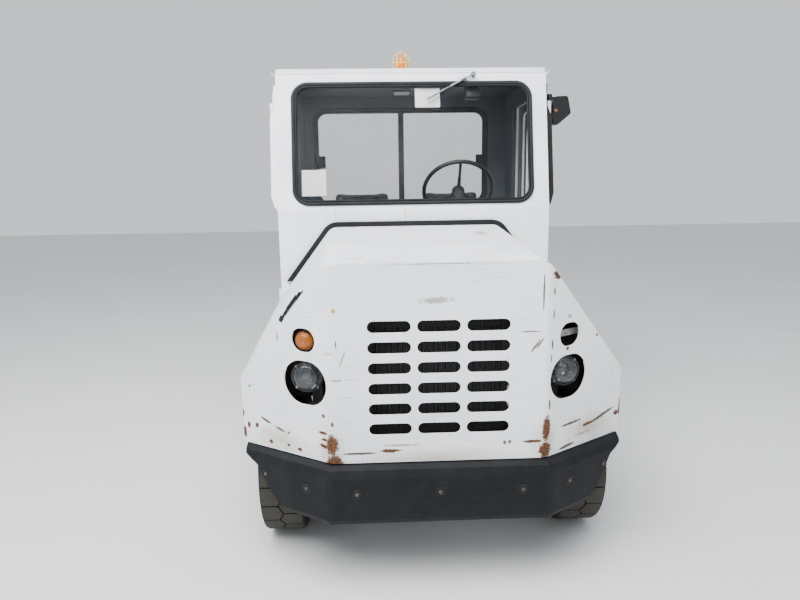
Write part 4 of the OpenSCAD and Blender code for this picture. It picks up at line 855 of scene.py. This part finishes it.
class TUG_OT_tyres(bpy.types.Operator):
    """Builds the four tyres: a turned carcass and blocks of tread round it"""
    bl_idname = "tug.tyres"
    bl_label = "Tyres"

    def execute(self, context):
        given = context.scene.tug_tyres
        low, high = (Vector(v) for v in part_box("tyre_front_left"))
        outer, half = (high.z - low.z) / 2 / MM, (high.x - low.x) / 2 / MM
        depth, groove = given.depth / MM, given.groove / MM
        bottom = outer - depth
        bead = [(152.3, 56), (166, 60), (172, 75), (186, 84), (190, 86.5), (196, 86.5),
                (202, half - 4), (232, half - 0.3), (262, half - 0.2), (268, half),
                (272, half - 1.4), (280, half - 2), (outer - 22, half - 7),
                (bottom - 3, half - 12), (bottom, half - 22)]
        profile = bead + [(r, -h) for r, h in reversed(bead)]
        profile.append(profile[0])
        pitch = math.tau / given.pitches
        wide = pitch - groove / outer
        # The tread's section from the middle outwards, and how high it stands there
        section = [(0, 0), (30, 0), (half - 20, 0), (half - 10, 4), (half - 5.5, 12),
                   (half - 3.6, 22)]
        reach = 9

        def tread(work):
            """One pitch: a block on each side, set half a pitch apart, pointed at the middle."""
            for side, offset in ((LEFT, 0.0), (RIGHT, 0.5)):
                columns = []
                for i in range(7):
                    u = i / 6
                    # The zigzag between the two rows runs to this side at the block's middle
                    inner = reach * (2 * abs(2 * u - 1) - 1) + groove / 2
                    angle = (offset - 0.5) * pitch + (u - 0.5) * wide
                    column = []
                    for k, (across, drop) in enumerate(section):
                        x = inner if k == 0 else max(across, inner + 4)
                        for r in (outer - drop, min(bottom - 2, outer - drop - 6)):
                            x_here = x - (3 if r < bottom and k else 0)
                            column.append(work.verts.new(Vector((
                                side * x_here, -r * math.sin(angle), r * math.cos(angle))) * MM))
                    columns.append(column)
                rows = len(section)
                for a, b in zip(columns, columns[1:]):
                    for k in range(rows - 1):
                        work.faces.new((a[2 * k], b[2 * k], b[2 * k + 2], a[2 * k + 2]))
                        work.faces.new((a[2 * k + 1], a[2 * k + 3], b[2 * k + 3], b[2 * k + 1]))
                    work.faces.new((a[0], a[1], b[1], b[0]))
                    last = 2 * rows - 2
                    work.faces.new((a[last], b[last], b[last + 1], a[last + 1]))
                for column in (columns[0], columns[-1]):
                    for k in range(rows - 1):
                        work.faces.new((column[2 * k], column[2 * k + 2], column[2 * k + 3],
                                        column[2 * k + 1]))

        pitch_drawn = template("tread_pitch", tread)
        for wheel in WHEELS:
            axle = middle("tyre_" + wheel)
            work = bmesh.new()
            turned(work, profile,
                   Matrix.Translation(axle) @ Matrix.Rotation(math.pi / 2, 4, "Y"), 96)
            bmesh.ops.remove_doubles(work, verts=work.verts, dist=1e-6)
            piece(f"tyre_{wheel}_carcass", work, "sidewall_rubber", "wheel_" + wheel,
                  ["tyre_" + wheel])
            grown(f"tyre_{wheel}_tread", bpy.data.meshes.new("axle"), tread_tree, {
                "Tread": pitch_drawn, "Pitches": given.pitches, "Axle": tuple(axle)},
                "dusty_tread_rubber", "wheel_" + wheel, ["tyre_" + wheel])
        bpy.data.objects.remove(pitch_drawn)
        return {"FINISHED"}


class TUG_OT_wheel_nuts(bpy.types.Operator):
    """Adds the wheel nuts, hub caps and tyre valves"""
    bl_idname = "tug.wheel_nuts"
    bl_label = "Wheel Nuts"

    def execute(self, context):
        def nut(work):
            turned(work, [(0, 0), (13, 0), (13, 3), (11, 3), (11, 13), (9, 15), (6, 15), (6, 19),
                          (0, 20)], Matrix(), 6)

        # How far the nuts, the cap and the valve stand out from the tyre's middle, and the radii
        # of the nuts' circle and the valve's place
        nuts_out, cap_out, valve_out = 41, 61, 44
        nuts_radius, valve_radius = 80, 134
        for wheel, side in WHEELS.items():
            axle = middle("rim_" + wheel)
            tyre = middle("tyre_" + wheel)

            def on_wheel(out, across, up):
                """A point out, back and up from the wheel's middle, in millimetres."""
                return Vector((tyre.x + side * out * MM, axle.y + across * MM, axle.z + up * MM))

            spots = []
            for i in range(5):
                a = math.tau * (i + 0.5) / 5
                spots.append((on_wheel(nuts_out, nuts_radius * math.cos(a),
                                       nuts_radius * math.sin(a)), (side, 0, 0)))
            fasteners(f"wheel_nuts_{wheel}", spots, nut, "dull_zinc_steel", "wheel_" + wheel)
            work = bmesh.new()
            cap = facing(on_wheel(cap_out, 0, 0), (side, 0, 0))
            turned(work, [(0, -2), (38, -2), (38, 3), (35, 5), (33, 5), (31, 4), (20, 8), (0, 9)],
                   cap, 40)
            valve = facing(on_wheel(valve_out, 0, valve_radius), (side, 0, -0.35))
            turned(work, [(0, -8), (5, -8), (5, 8), (4, 12), (4, 20), (0, 21)], valve, 12)
            piece(f"hub_cap_{wheel}", work, "white_wheel_enamel", "wheel_" + wheel)
        return {"FINISHED"}


class TUG_OT_headlamps(bpy.types.Operator):
    """Builds both headlamps, and the bare strap in the empty indicator opening"""
    bl_idname = "tug.headlamps"
    bl_label = "Headlamps"

    def execute(self, context):
        straps, bare, bowls, rims, chrome, lens, bulbs = (bmesh.new() for _ in range(7))
        screws = []
        for side in (LEFT, RIGHT):
            strap(straps, on_corner(side, *HEADLAMP), 25, 102, 75)
            # The lamps look nearly straight ahead, just behind the slanting panels
            centre = facing(at(side * 491, 110, 827), (side * 0.12, -1, 0))
            turned(bowls, [(0, -62), (18, -62), (28, -56), (46, -38), (58, -12), (61, 0), (61, 3),
                           (58, 3), (55, -12), (43, -36), (0, -58)], centre, 64)
            turned(rims, [(52, 2), (60, 2), (62, 4), (62, 9), (59, 12), (55, 12), (52.5, 8),
                          (52, 2)], centre, 64)
            turned(chrome, [(0, -40), (10, -40), (30, -30), (46, -12), (52, 4), (51, 4), (44, -14),
                            (28, -33), (0, -44)], centre, 64)
            turned(bulbs, [(0, -38), (7, -38), (7, -22), (10, -20), (10, -14), (7, -10), (0, -9)],
                   centre, 24)
            # The lens: a high dome pressed with upright flutes and a band across
            rings, steps = 16, 64
            grid = []
            for i in range(rings + 1):
                r = 53 * i / rings
                row = []
                for a in round_turn(steps if i else 1):
                    x, y = r * math.cos(a), r * math.sin(a)
                    z = 7 + 25 * math.sqrt(max(0.0, 1 - (r / 54) ** 2))
                    z += 0.9 * abs(math.sin(x / 9 * math.pi)) * (1 if abs(y) > 8 else 0.2)
                    row.append(lens.verts.new(inside(centre, x, y, z)))
                grid.append(row)
            skin(lens, grid + [[lens.verts.new(inside(centre, 0, 0, 6))]])
            screws += [(inside(centre, x, y, 11), out_of(centre))
                       for x, y in ((41, 41), (-41, 41), (41, -41), (-41, -41))]
        # Splash guards between the lamps and the wheels, with their lower edges turned back; their
        # black shuts the view through the lamp openings and is painted shade of the body's inside
        guards = bmesh.new()
        for side in (LEFT, RIGHT):
            outline = [(412, 700), (757, 700), (757, 742), (600, 945), (412, 945)]
            faces = [[guards.verts.new(at(side * x, y, z)) for x, z in outline]
                     for y in (246, 248.5)]
            skin(guards, faces)
            for face in faces:
                guards.faces.new(face)
            x0, x1 = sorted((side * 412, side * 757))
            block(guards, AT_NOSE, (x0, 248, 700), (x1, 268, 702.5), 0.8, 1)
        piece("splash_guards", guards, "black_chassis_paint", "body")
        empty = on_corner(LEFT, *INDICATOR)
        strap(bare, empty @ Matrix.Rotation(math.pi / 2, 4, "Z"), 13, 71, 30)
        screws.append((inside(empty, 4, 0, -27), out_of(empty)))
        pieces(["headlamps"],
               ("lamp_straps", straps, "black_chassis_paint", "lamp_steel"),
               ("bare_lamp_strap", bare, "grey_strap_paint", "lamp_steel"),
               ("headlamp_bowls", bowls, "black_chassis_paint", "lamp_steel"),
               ("headlamp_rims", rims, "black_chassis_paint", "lamp_steel"),
               ("headlamp_reflectors", chrome, "chromed_brass", "lamp_steel"),
               ("headlamp_bulbs", bulbs, "chromed_brass", "lamp_steel"),
               ("headlamp_lenses", lens, "pressed_lens_glass", "clear_glass"))
        fasteners("lamp_screws", screws, round_head, "dull_zinc_steel", "body")
        return {"FINISHED"}


class TUG_OT_signal_lamps(bpy.types.Operator):
    """Builds the indicator, the tail lamps and the beacon, with ribbed lenses"""
    bl_idname = "tug.signal_lamps"
    bl_label = "Signal Lamps"

    def execute(self, context):
        def ribbed(radius, foot, dome, ribs, depth):
            """A domed lens profile with concentric ribs."""
            profile, steps = [(0, foot - 4), (radius, foot - 4), (radius, foot)], ribs * 4
            for i in range(1, steps):
                r = radius * (1 - i / steps)
                z = foot + dome * math.sqrt(1 - (r / radius) ** 2)
                profile.append((r, z - (depth if i % 4 < 2 else 0)))
            return profile + [(0, foot + dome)]

        straps, base, lens = bmesh.new(), bmesh.new(), bmesh.new()
        strap(straps, on_corner(RIGHT, *INDICATOR), 15, 62, 40)
        lamp = facing(at(-491, 97, 971), (-0.3, -1, 0))
        turned(base, [(0, -10), (30, -10), (40, -4), (42, 0), (42, 8), (40, 10), (38, 10), (0, 9)],
               lamp, 48)
        turned(lens, ribbed(38, 9, 17, 6, 1.1), lamp, 64)
        pieces(["indicator_lamp"],
               ("indicator_strap", straps, "grey_strap_paint", "lamp_steel"),
               ("indicator_base", base, "hard_black_plastic", "black_plastic"),
               ("indicator_lens", lens, "amber_acrylic", "amber_lens"))

        base, lens = bmesh.new(), bmesh.new()
        for side in (LEFT, RIGHT):
            lamp = facing(at(side * 645, 2990, 620), (0, 1, 0))
            turned(base, [(0, 0), (49, 0), (49, 10), (47, 13), (44, 14), (0, 13)], lamp, 56)
            turned(lens, ribbed(43.5, 13, 14, 7, 0.9), lamp, 64)
        pieces(["tail_lamps"], ("tail_lamp_bases", base, "moulded_black_rubber", "seal_rubber"),
               ("tail_lamp_lenses", lens, "red_acrylic", "red_lens"))

        base, dome = bmesh.new(), bmesh.new()
        spot = Vector((middle("beacon").x, middle("beacon").y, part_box("beacon")[0][2]))
        place = Matrix.Translation(spot)
        turned(base, [(0, 0), (40, 0), (40, 8), (37, 11), (36, 40), (33, 46), (31, 48), (0, 48)],
               place, 48)
        # The dome is drawn with upright flutes that scatter its light
        steps, rows = 60, []
        outline = [(30.5, 46), (30.5, 50), (28, 52)] + [(28, 52 + 63 * i / 4) for i in range(1, 5)]
        outline += [(28 * math.cos(a), 115 + 16 * math.sin(a)) for a in
                    (math.radians(15 * i) for i in range(1, 6))]
        for i, (r, z) in enumerate(outline):
            flute = 0.7 if 2 < i < 9 else 0
            rows.append([dome.verts.new(round_in(place, r - flute * (k % 2), a, z))
                         for k, a in enumerate(round_turn(steps))])
        skin(dome, rows)
        dome.faces.new(rows[-1])
        dome.faces.new(list(reversed(rows[0])))
        piece("beacon_base", base, "grained_dash_plastic", "body", ["beacon"])
        piece("beacon_dome", dome, "glowing_beacon_acrylic", "body", ["beacon"], 50)
        return {"FINISHED"}


class TUG_OT_seals(bpy.types.Operator):
    """Adds the rounded lips of the window seals and their filler strips"""
    bl_idname = "tug.seals"
    bl_label = "Window Seals"

    def execute(self, context):
        front = on_windshield(0, 376, 6)
        beads("windshield_lip", [rounded_path(1356, 680, 84, front)], 8, "grey_weathered_rubber",
              "body")
        beads("windshield_inner_lip", [rounded_path(1328, 652, 70, front)], 6,
              "moulded_black_rubber", "body")
        rear = facing(at(-30, CAB_REAR + 6, 1750), (0, 1, 0))
        inner = facing(at(-30, CAB_REAR - 46, 1750), (0, -1, 0))
        beads("rear_window_lips", [rounded_path(1232, 666, 84, face) for face in (rear, inner)],
              8, "grey_weathered_rubber", "body")
        for side, name in ((LEFT, "left"), (RIGHT, "right")):
            window = facing(at(side * 810, 1862, 1675), (side, 0, 0))
            beads(f"door_{name}_lip", [rounded_path(476, 686, 58, window)], 7,
                  "grey_weathered_rubber", f"door_{name}")
        return {"FINISHED"}


class TUG_OT_small_trim(bpy.types.Operator):
    """Adds bolts and screws, the wiper's blade, the mirror's glass and the blank sheets"""
    bl_idname = "tug.small_trim"
    bl_label = "Bolts and Small Trim"

    def execute(self, context):
        spots = [(at(x, -40, 413), (0, -1, 0)) for x in (-310, 0, 310)]
        for side in (LEFT, RIGHT):
            for along, z in ((97, 413), (300, 424)):
                place = on_corner(side, along, z)
                spots.append((inside(place, 0, 0, 40), out_of(place)))
        fasteners("bumper_recesses", spots, bolt_recess, "moulded_black_rubber", "body")
        fasteners("bumper_bolts", spots, sunk_head, "dusty_bolt_steel", "body")

        # Screws along the hood's rear edge, over the rubber strip
        rear = [(at(x, 1312, 1317.4), (0, -0.04, 1)) for x in range(-400, 401, 160)]
        rear += [(at(side * x, 1312, 1316 - (x - 474) * HOOD_FALL), (side * 0.797, 0, 0.604))
                 for side in (LEFT, RIGHT) for x in range(505, 668, 54)]
        fasteners("hood_screws", rear, round_head, "dull_zinc_steel", "hood")

        # Hinge screws on the doors' leaves
        for side, name in ((LEFT, "left"), (RIGHT, "right")):
            leaf = [(at(side * 812.2, 1560, z), (side, 0, 0)) for z in (866, 884, 1951, 1969)]
            fasteners(f"door_{name}_screws", leaf, round_head, "dull_zinc_steel", f"door_{name}",
                      0.7)
            # The lock's rose and key barrel under the handle
            lock = bmesh.new()
            turned(lock, [(0, 0), (19, 0), (19, 3), (16, 5), (10, 5), (9, 9), (3, 9), (3, 7),
                          (0, 7)], facing(at(side * DOOR_OUT, 2128, 1130), (side, 0, 0)), 32)
            piece(f"door_{name}_lock", lock, "bare_pin_steel", f"door_{name}")

        # The wiper: a sprung bow over the arm, and a rubber blade under it
        place = on_windshield(*WIPER_SPINDLE) @ Matrix.Rotation(math.radians(27.5), 4, "Z")
        bow, blade = bmesh.new(), bmesh.new()
        block(bow, place, (-150, -6, 22.5), (-50, 6, 28), 2.5)
        block(bow, place, (-295, -3.5, 21.5), (-150, 3.5, 24), 1)
        turned(bow, [(0, 20), (13, 20), (13, 27), (9, 31), (0, 32)], place, 24)
        block(blade, place, (-303, -4, 10), (-40, 4, 15.6), 1.5)
        block(blade, place, (-303, -1.5, 2.5), (-40, 1.5, 10), 0.6)
        pieces((), ("wiper_bow", bow, "dull_zinc_steel", "bare_steel"),
               ("wiper_blade", blade, "moulded_black_rubber", "seal_rubber"))

        # The mirror: silvered glass in the head's rear face, and a rusty bolt in its front
        glass, strip = bmesh.new(), bmesh.new()
        back = facing(at(901, 1618, 1992), (0, 1, 0))
        block(glass, back, (-28, -46, -1), (28, 34, 1.5), 1.2)
        piece("mirror_glass", glass, "silvered_mirror_glass", "door_left")
        block(strip, AT_NOSE, (805.5, 1566, 1896), (823, 1571, 2032), 1.5)
        piece("mirror_strip", strip, "rust_stained_strap", "door_left")
        fasteners("mirror_bolt", [(at(857, 1567.5, 1967), (0, -1, 0))], hex_head,
                  "rusty_bolt_steel", "door_left", 0.8)

        # Two blank sheets taped inside the windshield, slightly curled
        for name, (x0, x1, up0, up1) in {"sale_sheet": (-637, -500, 83, 232),
                                         "small_sheet": (17, 160, 584, 694)}.items():
            paper = bmesh.new()
            n, rows = 12, []
            for face in (0, 0.4):
                for i in range(n + 1):
                    rows.append([paper.verts.new(on_windshield(
                        x0 + (x1 - x0) * k / n, up0 + (up1 - up0) * i / n,
                        -8.5 - face - 2.5 * math.sin(math.pi * k / n) ** 2).translation)
                        for k in range(n + 1)])
            sides = rows[:n + 1], rows[n + 1:]
            rims = []
            for face in sides:
                skin(paper, face, around=False)
                columns = list(zip(*face))
                rims.append([*face[0][:-1], *columns[-1][:-1], *face[-1][:0:-1],
                             *columns[0][:0:-1]])
            skin(paper, rims)
            piece(name, paper, "blank_white_paper", "body")
        return {"FINISHED"}


class TUG_OT_cab_fittings(bpy.types.Operator):
    """Adds the ceiling lamp, the rear window's catches, the gauges and the wiper motor's cover"""
    bl_idname = "tug.cab_fittings"
    bl_label = "Cab Fittings"

    def execute(self, context):
        lens, base = bmesh.new(), bmesh.new()
        ceiling = facing(at(-30, 2150, 2174), (0, 0, -1), (0, 1, 0))
        block(base, ceiling, (-62, -45, 0), (62, 45, 8), 3)
        block(lens, ceiling, (-52, -36, 6), (52, 36, 22), 8, 3)
        pieces((), ("ceiling_lamp_lens", lens, "milky_acrylic", "clear_glass"),
               ("ceiling_lamp_base", base, "hard_black_plastic", "black_plastic"))

        catches = bmesh.new()
        for x in (-603, 537):
            place = facing(at(x, 2372, 1720), (0, -1, 0))
            block(catches, place, (-26, -44, 0), (26, 44, 14), 4)
            block(catches, place, (-9, -22, 12), (9, 30, 26), 3)
        piece("rear_window_catches", catches, "moulded_black_rubber", "body")

        # The wiper motor's cover, on the inner face of the leaning front
        cover = bmesh.new()
        block(cover, on_windshield(*WIPER_SPINDLE), (-34, -109, -98.5), (48, 9, -39.5), 2)
        piece("wiper_motor_cover", cover, "hard_black_plastic", "body")

        # Gauges in the instrument box, facing the driver
        bezels, dials = bmesh.new(), bmesh.new()
        for k in range(4):
            face = facing(at(231 + 50 * k, 1544.5, 1391), (0, 34, 30), (0, -30, 34))
            turned(bezels, [(15, -1), (20, -1), (20, 3), (18.5, 4.5), (16, 4), (15, 2), (15, -1)],
                   face, 32)
            turned(dials, [(0, -1), (15.5, -1), (15.5, 1.2), (3, 1.2), (2.5, 3), (0, 3)], face, 32)
            block(dials, face @ Matrix.Rotation(math.radians(40 - 25 * k), 4, "Z"),
                  (-0.8, -3, 1.2), (0.8, 12, 2.2), 0.3, 1)
        pieces((), ("gauge_bezels", bezels, "chromed_brass", "bare_steel"),
               ("gauge_dials", dials, "hard_black_plastic", "black_plastic"))

        # The steering wheel's horn cap, and a boot round its column
        cap = bmesh.new()
        lean_y, lean_z = math.sin(WHEEL_TILT), math.cos(WHEEL_TILT)
        column = facing(at(*WHEEL_HUB), (0, lean_y, lean_z), (0, -lean_z, lean_y))
        turned(cap, [(0, -2), (37, -2), (37, 2), (33, 6), (24, 8), (22, 7), (10, 8), (0, 8)],
               column, 40)
        piece("horn_cap", cap, "grained_dash_plastic", "steering_wheel")
        # Its rim has finger grips, and one of its three spokes points up ahead
        ring, rings = bmesh.new(), []
        for a in round_turn(120):
            grip = 0.9 * max(0.0, math.cos(30 * a))
            row = []
            for b in round_turn(14):
                r = 13 - (grip if math.sin(b) < 0.2 else 0)
                row.append(ring.verts.new(round_in(
                    column, WHEEL_RADIUS + r * math.cos(b), a, r * math.sin(b))))
            rings.append(row)
        skin(ring, rings + rings[:1])
        for degrees in (90, 210, 330):
            a = math.radians(degrees)
            start, end = round_in(column, 28, a, -20), round_in(column, WHEEL_RADIUS - 3, a, 0)
            length = (end - start).length / MM
            turned(ring, [(0, 0), (14, 0), (11, 40), (8, length * 0.7), (10, length), (0, length)],
                   facing(start, end - start, out_of(column)), 12)
        turned(ring, [(0, -34), (38, -34), (41, -28), (41, -5), (38, 0), (0, 0)], column, 40)
        piece("steering_wheel_rim", ring, "hard_black_plastic", "steering_wheel",
              ["steering_wheel"])

        # The floor mat's upright ribs
        ribs = bmesh.new()
        for k in range(22):
            x = -690 + 62 * k
            block(ribs, AT_NOSE, (x, 1440, 594.5), (x + 22, 1930, 598), 1.2, 1)
        piece("floor_mat_ribs", ribs, "grey_floor_mat", "body")
        return {"FINISHED"}


class TUG_OT_seats(bpy.types.Operator):
    """Pads both seats: covers blown up by a cloth simulation, with seams and piping"""
    bl_idname = "tug.seats"
    bl_label = "Seats"

    def cover(self, context, name, low, high, rounding):
        """A padded cover between two corners in millimetres, on the driver's side."""
        given = context.scene.tug_seats
        low, high = (at(*v) for v in (low, high))
        inset = Vector((given.swell * 0.62,) * 3)
        size, centre = high - low - 2 * inset, (low + high) / 2
        work = bmesh.new()
        bmesh.ops.create_cube(work, size=1, matrix=Matrix.Diagonal((*size, 1)))
        bmesh.ops.bevel(work, geom=work.edges[:], offset=rounding * MM, segments=5, affect="EDGES",
                        profile=0.6)
        made = placed_in_scene(name, mesh_of(name, work))
        made.modifiers.new("Remesh", "REMESH").mode = "VOXEL"
        made.modifiers["Remesh"].voxel_size = given.cell
        meshed = evaluated(made)
        made.modifiers.clear()
        made.data = meshed
        rest = [v.co.copy() for v in meshed.vertices]
        cloth = made.modifiers.new("Cloth", "CLOTH")
        cloth.settings.use_pressure = True
        cloth.settings.uniform_pressure_force = given.pressure
        cloth.settings.effector_weights.gravity = 0
        for step in range(1, 21):
            context.scene.frame_set(step)
        blown = evaluated(made)
        made.modifiers.clear()
        for vert, new, old in zip(meshed.vertices, blown.vertices, rest):
            push = new.co - old
            vert.co = old + push * min(1.0, given.swell / max(push.length, 1e-9))
        context.scene.frame_set(1)
        made.modifiers.new("Smooth", "SMOOTH").iterations = 3
        smooth = made.modifiers.new("Subdivision", "SUBSURF")
        smooth.levels = smooth.render_levels = 1
        fine = evaluated(made)
        bpy.data.objects.remove(made)
        for vert in fine.vertices:
            vert.co += centre
        return fine

    def execute(self, context):
        x0, x1 = SEAT_X
        cushion_box = (x0, 1966, 921), (x1, 2364, 1049)
        back_box = (x0, 2252, 1046), (x1, 2358, 1524)
        cushion = self.cover(context, "cushion", *cushion_box, 30)
        back = self.cover(context, "back", *back_box, 44)
        low, high = (at(*corner) for corner in cushion_box)
        back_high = at(*back_box[1])
        # Sewn channels: furrows pressed 6 mm into the seating faces, 78 mm apart
        furrows, furrow_deep, furrow_half = (-117, -39, 39, 117), 6 * MM, 5
        for cover, axis, sign, face in ((cushion, 2, 1, high.z), (back, 1, -1, low.y)):
            normals = [v.normal.copy() for v in cover.vertices]
            for vert, normal in zip(cover.vertices, normals):
                toward = sign * normal[axis]
                if toward < 0.35:
                    continue
                off = (vert.co.x - NOSE.x) / MM - (x0 + x1) / 2
                furrow = sum(math.exp(-((off - c) / furrow_half) ** 2) for c in furrows)
                vert.co -= normal * furrow_deep * furrow * min(1, (toward - 0.35) * 3)
        # The cushion's underside is flat on its box, and both stay within the cab's fittings
        for vert in cushion.vertices:
            vert.co.z = max(vert.co.z, low.z)
            vert.co.y = min(max(vert.co.y, low.y), high.y)
        for vert in back.vertices:
            vert.co.y = min(vert.co.y, at(0, 2360, 0).y)
            vert.co.z = min(max(vert.co.z, high.z - 6 * MM), back_high.z + 3 * MM)
        shift = Vector((PASSENGER_X * MM, 0, 0))
        for person, offset in (("driver", Vector()), ("passenger", shift)):
            for part, cover in (("cushion", cushion), ("back", back)):
                mesh = cover.copy()
                for vert in mesh.vertices:
                    vert.co += offset
                made = finished(f"seat_{part}_{person}", mesh, "grained_seat_vinyl", "body",
                                ["seat_" + person], 60)
                # Piping lies on the cover where the seating face turns into the sides
                tree = BVHTree.FromPolygons([v.co for v in mesh.vertices],
                                            [tuple(p.vertices) for p in mesh.polygons])
                if part == "cushion":
                    place = facing(at((x0 + x1) / 2, 2165, 1052) + offset, (0, 0, 1), (0, 1, 0))
                    loop = rounded_path(392, 362, 50, place, 12)
                else:
                    place = facing(at((x0 + x1) / 2, 2246, 1285) + offset, (0, -1, 0))
                    loop = rounded_path(386, 440, 80, place, 12)
                spread = []
                for a, b in zip(loop, loop[1:] + loop[:1]):
                    count = max(1, round((b - a).length / (14 * MM)))
                    spread += [a.lerp(b, i / count) for i in range(count)]
                path = [tree.find_nearest(point)[0] for point in spread]
                beads(f"seat_{part}_piping_{person}", [path], 3.2, "hard_black_plastic", "body")
        return {"FINISHED"}


class TUG_OT_stage(bpy.types.Operator):
    """Sets up the pale floor, the soft light and the camera"""
    bl_idname = "tug.stage"
    bl_label = "Stage and Camera"

    def execute(self, context):
        settings = context.scene.tug_stage
        bpy.ops.mesh.primitive_plane_add(size=settings.floor_size)
        floor = context.object
        floor.name = "floor"
        floor.data.materials.append(bpy.data.materials["pale_studio_floor"])
        world = bpy.data.worlds.new("soft_sky")
        world.use_nodes = True
        sky = world.node_tree.nodes["Background"]
        sky.inputs["Color"].default_value = linear("#eef2f6")
        sky.inputs["Strength"].default_value = settings.sky_strength
        context.scene.world = world
        lamp = bpy.data.lights.new("key_light", "AREA")
        lamp.shape = "RECTANGLE"
        lamp.size, lamp.size_y, lamp.energy = 5.0, 4.0, settings.key_power
        key = bpy.data.objects.new("key_light", lamp)
        key.location = NOSE + Vector((-1.2, -1.5, 4.9))
        aim = NOSE + Vector((0, 1, 0.8)) - key.location
        key.rotation_euler = aim.to_track_quat("-Z", "Y").to_euler()
        context.collection.objects.link(key)
        # The photograph's eye: its place ahead of the nose, its turn and its field of view
        yaw, pitch, roll = (math.radians(a) for a in (-2.04, -10.40, 0.85))
        turn = (Matrix.Rotation(yaw, 3, "Z") @ Matrix.Rotation(pitch, 3, "X")
                @ Matrix.Rotation(roll, 3, "Y"))
        right, ahead, up = (turn.col[i] for i in range(3))
        eye = bpy.data.cameras.new("photo_camera")
        eye.sensor_width, eye.lens = 36.0, 27.07
        camera = bpy.data.objects.new("photo_camera", eye)
        view = Matrix((right, up, -ahead)).transposed()
        spot = NOSE + Vector((-0.214, -2.103, 1.52))
        camera.matrix_world = Matrix.Translation(spot) @ view.to_4x4()
        context.collection.objects.link(camera)
        context.scene.camera = camera
        return {"FINISHED"}


SETTINGS = {"tug_tyres": TyreSettings, "tug_seats": SeatSettings, "tug_stage": StageSettings}
OPERATORS = [TUG_OT_finishes, TUG_OT_tyres, TUG_OT_wheel_nuts, TUG_OT_headlamps,
             TUG_OT_signal_lamps, TUG_OT_seals, TUG_OT_small_trim, TUG_OT_cab_fittings,
             TUG_OT_seats, TUG_OT_stage]


class TUG_PT_panel(bpy.types.Panel):
    """Lists the steps that dress the tug"""
    bl_idname = "TUG_PT_panel"
    bl_label = "Baggage Tug"
    bl_space_type = "VIEW_3D"
    bl_region_type = "UI"
    bl_category = "Baggage Tug"

    def draw(self, context):
        for operator in OPERATORS:
            self.layout.operator(operator.bl_idname)


CLASSES = [*SETTINGS.values(), *OPERATORS, TUG_PT_panel]


def register():
    for cls in CLASSES:
        bpy.utils.register_class(cls)
    for name, cls in SETTINGS.items():
        setattr(bpy.types.Scene, name, PointerProperty(type=cls))


def unregister():
    for name in SETTINGS:
        delattr(bpy.types.Scene, name)
    for cls in reversed(CLASSES):
        bpy.utils.unregister_class(cls)


def main():
    register()
    for operator in OPERATORS:
        getattr(bpy.ops.tug, operator.bl_idname.split(".")[1])()


if __name__ == "__main__":
    main()
